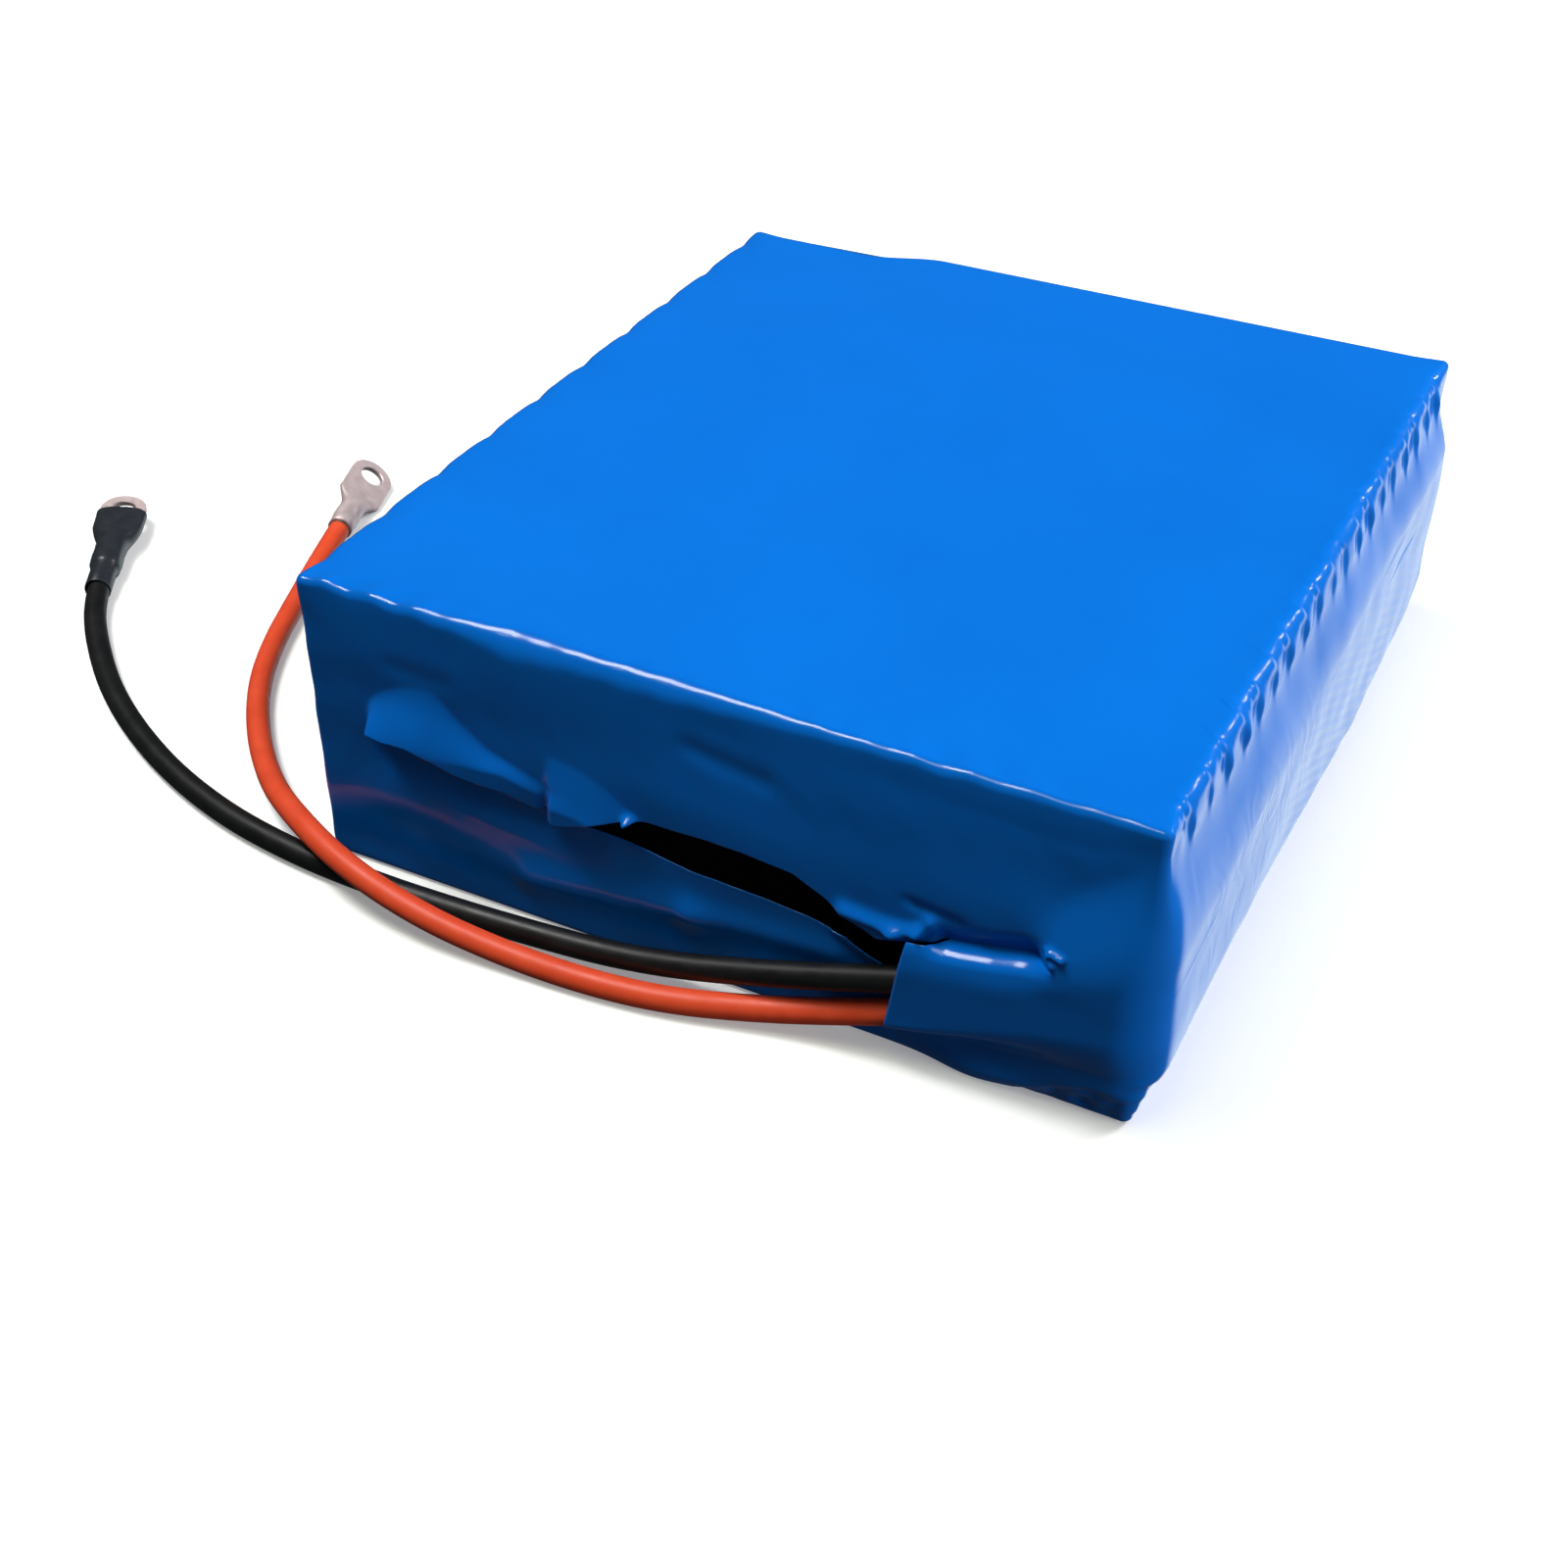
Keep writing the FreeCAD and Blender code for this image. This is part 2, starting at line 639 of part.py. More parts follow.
def leads():
    """Each power lead in two pieces that meet face to face in the mouth of the film sleeve."""
    for colour, route, heights in (
        ("black", BLACK_ROUTE, BLACK_SIDE_HEIGHTS),
        ("red", RED_ROUTE, RED_SIDE_HEIGHTS),
    ):
        mouth, onward = Vector(*route[0]), Vector(*route[1])
        straight = mouth + (mouth - onward).normalize() * 14.0
        inner = [(x, y, z) for (x, y), z in zip(SIDE_RUN, heights)] + [tuple(straight), tuple(mouth)]
        tube(f"{colour}_lead_inside", inner, value("Size.lead_diameter"), LEAD_CORNER_RADIUS)
        piece, radii = tube(f"{colour}_lead", route, value("Size.lead_diameter"))
        print(f"{colour} lead's arcs: " + ", ".join(f"{r:.0f}" for r in radii))
        if min(radii) < SHARPEST_FREE_BEND * value("Size.lead_diameter"):
            raise ValueError(f"the {colour} lead turns too sharply")
        if piece.Shape.optimalBoundingBox(False).ZMin < -0.02:
            raise ValueError(f"the {colour} lead goes below the floor")


def along_lead(route, roll):
    """The frame of a lug: its X axis continues the lead, and it is rolled about that axis."""
    end = Vector(*route[-1])
    heading = (end - Vector(*route[-2])).normalize()
    across = Vector(0, 0, 1).cross(heading).normalize()
    upward = heading.cross(across)
    turn = FreeCAD.Rotation(heading, across, upward, "ZXY")
    return FreeCAD.Placement(end, turn * FreeCAD.Rotation(Vector(1, 0, 0), roll))


def local(thing, x, y, z):
    """Binds a place in a lug's own frame."""
    for axis, expression in zip("xyz", (x, y, z)):
        thing.setExpression(f"Placement.Base.{axis}", expression)


def ring_lug(label, frame):
    """A tubular lug: round barrel, flattening neck, and flat palm with a hole for the stud."""
    palm_start = "Size.barrel_length + Size.neck_length"
    half_palm, half_plate = "Size.palm_width / 2", "Size.palm_thickness / 2"
    origin = ("0", "0", "0")
    barrel = rod(f"{label}_barrel", origin, "Size.barrel_diameter", "Size.barrel_length", "X")
    local(barrel, *origin)
    neck = doc.addObject("Part::Wedge", f"{label}_neck")
    neck.Placement = FreeCAD.Placement(Vector(0, 0, 0), FreeCAD.Rotation(Vector(0, 0, 1), -90))
    wide, tall = "Size.palm_width", "Size.palm_thickness"
    half_barrel = "Size.barrel_diameter * 0.35"
    for name, expression in {
        "Xmin": f"-{half_barrel}", "Xmax": half_barrel, "Zmin": f"-{half_barrel}", "Zmax": half_barrel,
        "Ymin": "0", "Ymax": "Size.neck_length + 0.5",
        "X2min": f"-{wide} / 2", "X2max": f"{wide} / 2", "Z2min": f"-{tall} / 2", "Z2max": f"{tall} / 2",
    }.items():
        neck.setExpression(name, expression)
    local(neck, "Size.barrel_length", "0", "0")
    palm = doc.addObject("Part::Box", f"{label}_palm")
    for side, expression in zip(("Length", "Width", "Height"), ("Size.palm_length", wide, tall)):
        palm.setExpression(side, expression)
    local(palm, palm_start, f"-{half_palm}", f"-{half_plate}")
    tip = doc.addObject("Part::Cylinder", f"{label}_tip")
    hole = doc.addObject("Part::Cylinder", f"{label}_hole")
    centre = f"{palm_start} + Size.palm_length"
    for disc, diameter, extra in ((tip, "Size.palm_width", "0"), (hole, "Size.stud_hole", "2")):
        disc.setExpression("Radius", f"{diameter} / 2")
        disc.setExpression("Height", f"{tall} + {extra}")
        local(disc, centre, "0", f"-{half_plate} - {extra} / 2")
    lug = cut(label, join(f"{label}_solid", [barrel, neck, palm, tip]), hole)
    lug.Placement = frame
    keep(label, lug)


def lug_sleeve(label, frame):
    """Black shrink tube over the end of the lead, the lug's barrel and the start of its palm."""
    # place along the lug, half width, half height
    steps = [
        (-10.0, 3.35, 3.35), (-1.5, 3.35, 3.35), (0.5, 4.05, 4.05),
        (12.0, 4.05, 4.05), (19.0, 7.2, 3.0), (24.5, 7.2, 2.7),
    ]
    wall = 0.5
    upright = FreeCAD.Rotation(Vector(0, 1, 0), Vector(0, 0, 1), Vector(1, 0, 0), "ZXY")

    def ring(x, wide, tall):
        """An ellipse across the lead. Its long axis lies across the palm."""
        edge = Part.Ellipse(Vector(0, 0, 0), wide + 1e-3, tall).toShape()
        edge.Placement = FreeCAD.Placement(Vector(x, 0, 0), upright)
        return Part.Wire([edge])

    outside = Part.makeLoft([ring(*s) for s in steps], True, True)
    inside = Part.makeLoft([ring(x, wide - wall, tall - wall) for x, wide, tall in steps], True, True)
    sleeve = doc.addObject("Part::Feature", label)
    sleeve.Shape = outside.cut(inside)
    sleeve.Placement = frame
    keep(label, sleeve)


# The pack --------------------------------------------------------------------------------------------------

shrink_wrap()
insulation_board("top_insulation_board", "Size.pack_height - Size.film - Size.board")
insulation_board("bottom_insulation_board", "Size.film")
foam()
holder("bottom_cell_holder", "bottom", CELL_FOOT)
holder("top_cell_holder", "top", f"{CELL_HEAD} - Size.holder_height")
for number, group in enumerate(GROUPS, 1):
    cell_group(number, *group)
for level, plates in (("top", TOP_PLATES), ("bottom", BOTTOM_PLATES)):
    for index, (first, last) in enumerate(plates, 1):
        nickel_plate(level, index, first, last)
management_board()
tap_wires()
power_links()
leads()
for colour, route in (("black", BLACK_ROUTE), ("red", RED_ROUTE)):
    ring_lug(f"{colour}_ring_lug", along_lead(route, LUG_ROLL[colour]))
lug_sleeve("black_lug_sleeve", along_lead(BLACK_ROUTE, LUG_ROLL["black"]))

doc.recompute()
for thing in doc.Objects:
    if "Invalid" in thing.State or "Error" in thing.State:
        raise ValueError(f"{thing.Label} failed: {thing.State}")
for label, thing in pieces.items():
    if thing.Shape.isNull() or not thing.Shape.isValid():
        raise ValueError(f"{label} has no valid shape")

os.makedirs("parts", exist_ok=True)
for label, thing in pieces.items():
    thing.Shape.exportStep(f"parts/{label}.step")
print(f"{len(pieces)} sub-parts written")
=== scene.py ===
import json
import math
from types import SimpleNamespace

import bmesh
import bpy
import numpy as np
from mathutils import Matrix, Vector, noise


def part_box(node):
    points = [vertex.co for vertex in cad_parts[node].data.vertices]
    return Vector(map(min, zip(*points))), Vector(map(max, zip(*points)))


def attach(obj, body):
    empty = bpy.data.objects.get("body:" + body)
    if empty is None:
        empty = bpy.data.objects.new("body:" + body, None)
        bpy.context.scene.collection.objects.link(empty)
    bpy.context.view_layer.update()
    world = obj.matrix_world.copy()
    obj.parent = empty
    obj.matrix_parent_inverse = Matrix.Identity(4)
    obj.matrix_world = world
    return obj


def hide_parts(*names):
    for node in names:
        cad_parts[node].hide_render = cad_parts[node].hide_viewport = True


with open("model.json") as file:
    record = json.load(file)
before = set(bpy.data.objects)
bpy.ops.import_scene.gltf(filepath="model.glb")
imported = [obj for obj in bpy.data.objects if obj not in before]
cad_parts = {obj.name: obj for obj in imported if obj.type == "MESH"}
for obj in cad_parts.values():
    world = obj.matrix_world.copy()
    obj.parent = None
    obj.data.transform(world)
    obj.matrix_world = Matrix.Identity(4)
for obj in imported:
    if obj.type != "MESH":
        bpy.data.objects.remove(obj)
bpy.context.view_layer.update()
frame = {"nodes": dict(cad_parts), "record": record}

MM = 0.001
FILM_LOW, FILM_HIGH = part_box("shrink_wrap")
FRONT_STAND, SIDE_STAND = 6.0, 4.75  # the film's raised channels over the leads, in mm
# The pack's front left lower corner. The film is laid out from there, in mm.
CORNER = Vector((FILM_LOW[0], FILM_LOW[1] + FRONT_STAND * MM, FILM_LOW[2]))
WIDTH = (FILM_HIGH[0] - CORNER.x) / MM - SIDE_STAND
LENGTH = (FILM_HIGH[1] - CORNER.y) / MM
HEIGHT = (FILM_HIGH[2] - CORNER.z) / MM


# Camera ------------------------

CAMERA_PLACE = (0.156432, -0.380574, 0.289315)  # in metres
CAMERA_LENS, CAMERA_SENSOR = 48.593, 36.0  # in mm


def make_camera():
    """Looks from the photograph's viewpoint."""
    azimuth, elevation, roll = 0.468601195, 0.641285758, 0.00536494625
    place = Matrix.Translation(CAMERA_PLACE)
    for angle, axis in ((azimuth, "Z"), (math.pi / 2 - elevation, "X"), (roll, "Z")):
        place = place @ Matrix.Rotation(angle, 4, axis)
    data = bpy.data.cameras.new("camera")
    data.lens, data.sensor_width = CAMERA_LENS, CAMERA_SENSOR
    data.clip_start, data.clip_end = 0.01, 20
    camera = bpy.data.objects.new("camera", data)
    camera.matrix_world = place
    bpy.context.scene.collection.objects.link(camera)
    bpy.context.scene.camera = camera


make_camera()

# Materials ---------------------


class Surface:
    """A Principled material built up from patterns in the row's frame."""

    def __init__(self, name, **sockets):
        self.material = bpy.data.materials.new(name)
        self.material.use_nodes = True
        self.nodes = self.material.node_tree.nodes
        self.links = self.material.node_tree.links
        self.shader = self.nodes["Principled BSDF"]
        for socket, number in sockets.items():
            self.shader.inputs[socket.replace("_", " ")].default_value = number
        self.place = self.nodes.new("ShaderNodeTexCoord").outputs["Object"]
        self.relief = None

    def link(self, source, target):
        self.links.new(source, target)

    def node(self, kind, **inputs):
        """A new node, whose inputs take numbers or the outputs of other nodes."""
        node = self.nodes.new(f"ShaderNode{kind}")
        for name, value in inputs.items():
            socket = node.inputs[name.replace("_", " ")]
            if isinstance(value, bpy.types.NodeSocket):
                self.link(value, socket)
            else:
                socket.default_value = value
        return node

    def mapped(self, stretch=(1, 1, 1), turn=(0, 0, 0)):
        """The place, stretched and turned by angles in degrees."""
        rotation = [math.radians(angle) for angle in turn]
        return self.node("Mapping", Vector=self.place, Scale=stretch, Rotation=rotation).outputs[0]

    def noise(self, scale, detail=3.0, stretch=(1, 1, 1), distortion=0.0):
        place = self.mapped(stretch)
        node = self.node("TexNoise", Vector=place, Scale=scale, Detail=detail, Distortion=distortion)
        return node.outputs["Fac"]

    def wave(self, scale, distortion, turn=(0, 0, 0), detail=2.0, detail_scale=1.0, along="X"):
        place = self.mapped(turn=turn)
        node = self.node("TexWave", Vector=place, Scale=scale, Distortion=distortion, Detail=detail)
        node.inputs["Detail Scale"].default_value = detail_scale
        node.bands_direction = along
        return node.outputs["Fac"]

    def ramp(self, source, *stops):
        """Colours or grey levels along a pattern, as (position, value) pairs."""
        node = self.node("ValToRGB", Fac=source)
        for element, (position, value) in zip(node.color_ramp.elements, stops):
            element.position = position
            element.color = (value,) * 3 + (1,) if isinstance(value, float) else (*value, 1)
        return node.outputs["Color"]

    def colour(self, source, dark, light, start=0.3, end=0.7):
        """A base colour between two colours along a pattern."""
        colours = self.ramp(source, (start, dark), (end, light))
        self.link(colours, self.shader.inputs["Base Color"])
        return self

    def roughness(self, source, low, high):
        """A roughness between two levels along a pattern."""
        levels = {"From_Min": 0.3, "From_Max": 0.7, "To_Min": low, "To_Max": high}
        node = self.node("MapRange", Value=source, **levels)
        self.link(node.outputs["Result"], self.shader.inputs["Roughness"])
        return self

    def product(self, first, second):
        node = self.node("Math")
        node.operation = "MULTIPLY"
        self.link(first, node.inputs[0])
        self.link(second, node.inputs[1])
        return node.outputs[0]

    def bump(self, source, height):
        """Adds relief of a height in mm to what is there already."""
        node = self.node("Bump", Height=source, Strength=1.0, Distance=height * MM)
        if self.relief is not None:
            self.link(self.relief, node.inputs["Normal"])
        self.relief = node.outputs["Normal"]
        self.link(self.relief, self.shader.inputs["Normal"])
        return self


def band(surface, axis, low, high, soft):
    """1 between two places along an axis, in mm in the row's frame, and 0 beyond them."""
    place = surface.node("SeparateXYZ", Vector=surface.place).outputs[axis]
    levels = []
    for start, end in ((low - soft, low + soft), (high + soft, high - soft)):
        node = surface.node("MapRange", Value=place, From_Min=start * MM, From_Max=end * MM)
        node.interpolation_type = "SMOOTHSTEP"
        levels.append(node.outputs["Result"])
    return surface.product(*levels)


def film_material():
    film = Surface("shrink_film", Roughness=0.16, IOR=1.36, Coat_Weight=0.0)
    film.colour(film.noise(25, 4), (0.0008, 0.132, 0.575), (0.0010, 0.142, 0.615))
    film.roughness(film.noise(60, 5), 0.10, 0.20)
    film.bump(film.noise(55, 2), 0.05)
    film.bump(film.noise(300, 3), 0.005)
    # fine ripples on the right side, where the film bridges the cells
    ripple = film.wave(112, 1.6, (-63, 0, 0), 1.0, 0.35, "Y")
    area = film.product(band(film, "Y", -15, 80, 22), band(film, "Z", 4, 44, 10))
    area = film.product(area, band(film, "X", 89, 110, 1.5))
    film.bump(film.product(ripple, area), 0.09)
    # irregular crinkles nearer to the front
    swirl = film.noise(85, 1.5, distortion=2.2)
    area = film.product(band(film, "Y", -75, 5, 20), band(film, "Z", 18, 50, 10))
    area = film.product(area, band(film, "X", 89, 110, 1.5))
    film.bump(film.product(swirl, area), 0.10)
    return film.material


def board_material():
    board = Surface("insulation_board", Roughness=0.45)
    weave = board.wave(260, 0.4)
    board.colour(board.noise(120, 4), (0.52, 0.56, 0.28), (0.62, 0.65, 0.36))
    return board.roughness(board.noise(90), 0.4, 0.55).bump(weave, 0.02).material


def foam_material():
    foam = Surface("foam", Roughness=0.95, Specular_IOR_Level=0.1)
    foam.colour(foam.noise(900, 6), (0.0015, 0.0015, 0.0017), (0.006, 0.006, 0.007), 0.35)
    return foam.bump(foam.noise(1400, 4), 0.12).material


def holder_material():
    holder = Surface("cell_holder", Roughness=0.5)
    holder.colour(holder.noise(70, 5), (0.02, 0.02, 0.022), (0.035, 0.035, 0.037))
    return holder.roughness(holder.noise(200), 0.42, 0.6).bump(holder.noise(900, 3), 0.02).material


def cell_material():
    cell = Surface("cell_wrap", Roughness=0.3, Coat_Weight=0.3)
    cell.colour(cell.noise(40, 3), (0.03, 0.33, 0.27), (0.04, 0.39, 0.33))
    return cell.roughness(cell.noise(150, 4), 0.22, 0.36).bump(cell.noise(400, 2), 0.01).material


def metal_material(name, dark, light, low, high, scratch=(1, 1, 12), metallic=1.0):
    """Brushed metal between two colours and two roughnesses."""
    metal = Surface(name, Metallic=metallic)
    metal.colour(metal.noise(180, 5, scratch), dark, light)
    metal.roughness(metal.noise(320, 6, scratch), low, high)
    return metal.bump(metal.noise(700, 4, scratch), 0.012).material


def plastic_material(name, dark, light, low, high, scale=220, relief=0.01, **sockets):
    """Plastic, rubber or coating between two colours and two roughnesses."""
    plastic = Surface(name, **sockets)
    plastic.colour(plastic.noise(scale, 4), dark, light)
    plastic.roughness(plastic.noise(scale * 1.7, 4), low, high)
    return plastic.bump(plastic.noise(scale * 3, 3), relief).material


def circuit_material():
    circuit = Surface("circuit_board", Roughness=0.35)
    tracks = circuit.ramp(circuit.wave(330, 6.0, detail=3.0), (0.48, 0.0), (0.52, 1.0))
    circuit.colour(tracks, (0.010, 0.105, 0.035), (0.018, 0.17, 0.06), 0.2, 0.8)
    return circuit.roughness(circuit.noise(300), 0.28, 0.42).bump(tracks, 0.02).material


# What metal_material and plastic_material take after the name
METALS = {
    "nickel": ((0.60, 0.58, 0.53), (0.72, 0.70, 0.65), 0.22, 0.38),
    "heat_sink": ((0.62, 0.63, 0.65), (0.74, 0.75, 0.77), 0.3, 0.5, (12, 1, 1)),
    "screw": ((0.50,) * 3, (0.66,) * 3, 0.25, 0.4, (1, 1, 1)),
    "shunt": ((0.52, 0.44, 0.36), (0.62, 0.54, 0.46), 0.3, 0.45, (1, 1, 1)),
    "lug_metal": ((0.64, 0.50, 0.51), (0.78, 0.64, 0.65), 0.42, 0.56, (2, 2, 2), 0.5),
}
PLASTICS = {
    "chip": ((0.015,) * 3, (0.025,) * 3, 0.45, 0.6),
    "thermal_pad": ((0.42, 0.46, 0.50), (0.50, 0.54, 0.58), 0.7, 0.85),
    "connector": ((0.70, 0.67, 0.57), (0.78, 0.75, 0.66), 0.4, 0.55),
    "insulation_paper": ((0.10, 0.26, 0.22), (0.14, 0.32, 0.27), 0.7, 0.85, 500, 0.03),
    "thin_wire": ((0.60, 0.58, 0.53), (0.68, 0.66, 0.61), 0.35, 0.5),
    "lug_sleeve": ((0.015, 0.017, 0.023), (0.024, 0.028, 0.036), 0.26, 0.38, 240, 0.03),
}
MATERIALS = {
    "shrink_film": film_material(),
    "insulation_board": board_material(),
    "foam": foam_material(),
    "cell_holder": holder_material(),
    "cell_wrap": cell_material(),
    "circuit_board": circuit_material(),
    "black_insulation": plastic_material(
        "black_insulation", (0.0045, 0.0045, 0.0050), (0.0085, 0.0085, 0.0095), 0.36, 0.50,
        160, 0.02, Specular_IOR_Level=0.35,
    ),
    "red_insulation": plastic_material(
        "red_insulation", (0.78, 0.070, 0.022), (0.86, 0.092, 0.032), 0.38, 0.52,
        160, 0.02, Specular_IOR_Level=0.35, Subsurface_Weight=0.08, Subsurface_Scale=0.002,
    ),
    **{name: metal_material(name, *look) for name, look in METALS.items()},
    **{name: plastic_material(name, *look) for name, look in PLASTICS.items()},
}
SLOTS = {row["node"]: row["material_slot"] for row in frame["record"]["subparts"]}


def new_piece(name, mesh, slot, *nodes):
    """A visible piece of the pack, which stands for CAD nodes."""
    piece = bpy.data.objects.new(name, mesh)
    bpy.context.scene.collection.objects.link(piece)
    piece.data.materials.append(MATERIALS[slot])
    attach(piece, "root")
    if nodes:
        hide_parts(*nodes)
    return piece


def built_mesh(name, build, smooth=True):
    """The finished mesh of a bmesh, which is freed."""
    mesh = bpy.data.meshes.new(name)
    build.to_mesh(mesh)
    build.free()
    mesh.polygons.foreach_set("use_smooth", [smooth] * len(mesh.polygons))
    return mesh


def bridge(build, rings):
    """Joins rings of vertices, which all have the same number of them."""
    for ring, following in zip(rings, rings[1:]):
        for i in range(len(ring)):
            j = (i + 1) % len(ring)
            build.faces.new((ring[i], ring[j], following[j], following[i]))


# Leads -------------------------

LEAD_DIAMETER = 5.5
BLACK_ROUTE = [
    (42.8, -103.4, 20.5), (28.5, -104.1, 15.7), (12.3, -105.1, 11.0), (-3.9, -106.2, 6.9),
    (-20.8, -106.8, 4.0), (-38.2, -107.2, 2.75), (-55.8, -108.4, 2.75), (-75.4, -109.0, 2.75),
    (-98.0, -108.1, 2.75), (-122.0, -104.0, 2.75), (-147.4, -94.8, 2.75), (-174.0, -79.7, 2.75),
    (-195.1, -61.7, 2.75), (-206.8, -48.7, 3.3), (-214.0, -36.5, 4.1),
]
RED_ROUTE = [
    (41.5, -103.4, 11.6), (28.2, -104.5, 6.9), (13.2, -107.7, 3.9), (-3.6, -112.5, 2.9),
    (-20.6, -114.9, 2.75), (-39.4, -115.7, 3.2), (-59.9, -116.4, 6.2), (-82.0, -112.8, 9.4),
    (-103.7, -102.4, 9.4), (-119.0, -90.3, 4.6), (-133.0, -76.7, 2.75), (-145.2, -61.1, 2.75),
    (-154.0, -44.3, 2.75), (-160.7, -26.5, 2.75), (-167.0, -8.4, 3.4), (-172.2, 7.9, 3.9),
]
LUG_ROLL = {"black": 4.0, "red": 38.0}  # degrees about the lead


def lead_curve(colour, route):
    curve = bpy.data.curves.new(f"{colour}_lead_line", "CURVE")
    curve.dimensions = "3D"
    curve.bevel_depth = LEAD_DIAMETER / 2 * MM
    curve.bevel_resolution = 8
    curve.resolution_u = 16
    curve.use_fill_caps = True
    spline = curve.splines.new("NURBS")
    spline.points.add(len(route) - 1)
    for point, (x, y, z) in zip(spline.points, route):
        point.co = (x * MM, y * MM, z * MM, 1)
    spline.order_u = 3
    spline.use_endpoint_u = True
    return new_piece(f"{colour}_lead_cable", curve, f"{colour}_insulation", f"{colour}_lead")


def along_lead(route, roll):
    """The frame of a lug: its X axis continues the lead, and it is rolled about that axis."""
    end, before = Vector(route[-1]), Vector(route[-2])
    heading = (end - before).normalized()
    across = Vector((0, 0, 1)).cross(heading).normalized()
    upward = heading.cross(across)
    turn = Matrix((heading, across, upward)).transposed().to_4x4()
    return Matrix.Translation(end * MM) @ turn @ Matrix.Rotation(math.radians(roll), 4, "X")


def loft(name, sections, slot, *nodes, closed=True):
    """A skin through rings of points."""
    build = bmesh.new()
    rings = [[build.verts.new(point) for point in section] for section in sections]
    bridge(build, rings)
    if closed:
        build.faces.new(reversed(rings[0]))
        build.faces.new(rings[-1])
    bmesh.ops.remove_doubles(build, verts=build.verts, dist=1e-7)
    bmesh.ops.recalc_face_normals(build, faces=build.faces)
    return new_piece(name, built_mesh(name, build), slot, *nodes)


def ellipse(place, x, wide, tall, power=2.0, count=48, lift=0.0):
    """A ring across a lug's axis, from an ellipse towards a rectangle as power grows."""
    points = []
    for i in range(count):
        angle = math.tau * i / count
        c, s = math.cos(angle), math.sin(angle)
        y = wide * math.copysign(abs(c) ** (2 / power), c)
        z = tall * math.copysign(abs(s) ** (2 / power), s) + lift
        points.append(place @ (Vector((x, y, z)) * MM))
    return points


def palm_mesh(name, place):
    """The lug's flat palm with its round tip, stud hole and eased edges."""
    half_width, half_thick, hole, centre, start = 6.0, 0.8, 3.2, 28.0, 16.5
    count, ease = 72, 0.22
    angles = [math.tau * i / count for i in range(count)]
    turns = [(math.cos(angle), math.sin(angle)) for angle in angles]
    build = bmesh.new()

    def outline(inset):
        radius, points = half_width - inset, []
        for c, s in turns:
            reach = radius
            if c < 0:
                reach = min(radius / max(abs(s), 1e-6), (centre - start) / max(-c, 1e-6))
            points.append((centre + c * reach, s * reach))
        return points

    def circle(radius):
        return [(centre + radius * c, radius * s) for c, s in turns]

    loops = []
    for flat, height in (
        (circle(hole), -half_thick + ease),
        (circle(hole + ease), -half_thick),
        (outline(ease), -half_thick),
        (outline(0), -half_thick + ease),
        (outline(0), half_thick - ease),
        (outline(ease), half_thick),
        (circle(hole + ease), half_thick),
        (circle(hole), half_thick - ease),
    ):
        loops.append([build.verts.new(place @ (Vector((x, y, height)) * MM)) for x, y in flat])
    bridge(build, loops + loops[:1])
    bmesh.ops.recalc_face_normals(build, faces=build.faces)
    return built_mesh(name, build, smooth=False)


def ring_lug(colour, place):
    """Barrel with its crimp, neck that flattens, palm with the stud hole."""
    node = f"{colour}_ring_lug"
    steps = (
        (0.9, 2.75, 2.75, 2), (0.75, 3.05, 3.05, 2), (0.95, 3.25, 3.25, 2), (3.2, 3.25, 3.25, 2),
        (4.2, 3.32, 3.05, 2), (5.2, 3.42, 2.72, 2), (6.6, 3.46, 2.6, 2), (8.0, 3.42, 2.72, 2),
        (9.0, 3.32, 3.05, 2), (10.2, 3.25, 3.22, 2), (11.6, 3.3, 3.15, 2), (12.8, 3.6, 2.8, 2.1),
        (14.0, 4.2, 2.15, 2.3), (15.2, 4.95, 1.55, 2.7), (16.4, 5.6, 1.1, 3.4),
        (17.4, 5.9, 0.86, 5), (18.6, 5.99, 0.8, 8), (19.4, 5.99, 0.6, 8),
    )
    body = [ellipse(place, *step) for step in steps]
    strands = [ellipse(place, x, 2.3, 2.3) for x in (-0.5, 1.5)]
    return [
        loft(f"{colour}_lug_barrel", body, "lug_metal", node),
        new_piece(f"{colour}_lug_palm", palm_mesh(f"{colour}_lug_palm", place), "lug_metal", node),
        loft(f"{colour}_lead_strands", strands, "shunt", node),
    ]


def lug_sleeve(place):
    """Shrink tube that shows the steps of what it covers: the lead, the barrel and the palm."""
    sections = []
    steps = [
        (-10.0, 2.95, 2.95), (-10.05, 3.2, 3.2), (-9.7, 3.36, 3.36), (-4.0, 3.36, 3.36),
        (-1.2, 3.4, 3.4), (-0.5, 3.75, 3.75), (0.2, 3.98, 3.98), (3.0, 4.02, 3.98),
        (6.6, 4.0, 3.82), (10.0, 4.05, 3.98), (11.6, 4.2, 3.9), (13.0, 4.8, 3.6), (15.0, 5.6, 3.15),
        (16.6, 6.1, 2.8), (18.0, 6.4, 2.6), (20.0, 6.5, 2.5), (22.5, 6.5, 2.5), (25.4, 6.6, 2.6),
        (25.8, 6.55, 2.5), (25.75, 6.4, 2.25), (24.4, 6.3, 2.0),
    ]
    for x, wide, tall in steps:
        ring = ellipse(place, x, wide, tall, 2 + 0.6 * min(max(x - 12, 0) / 5, 1), 64)
        axis = place @ (Vector((x, 0, 0)) * MM)
        swollen = []
        for point in ring:
            level = noise.noise(point * 260) * 0.16 + noise.noise(point * 700) * 0.05
            swollen.append(point + (point - axis).normalized() * level * MM)
        sections.append(swollen if -9.7 <= x <= 25.4 else ring)
    name, node = "black_lug_sleeve_tube", "black_lug_sleeve"
    return loft(name, sections, "lug_sleeve", node, closed=False)


for colour, route in (("black", BLACK_ROUTE), ("red", RED_ROUTE)):
    cable = lead_curve(colour, route)
    place = along_lead(route, LUG_ROLL[colour])
    with_pieces = ring_lug(colour, place)
    if colour == "black":
        with_pieces.append(lug_sleeve(place))

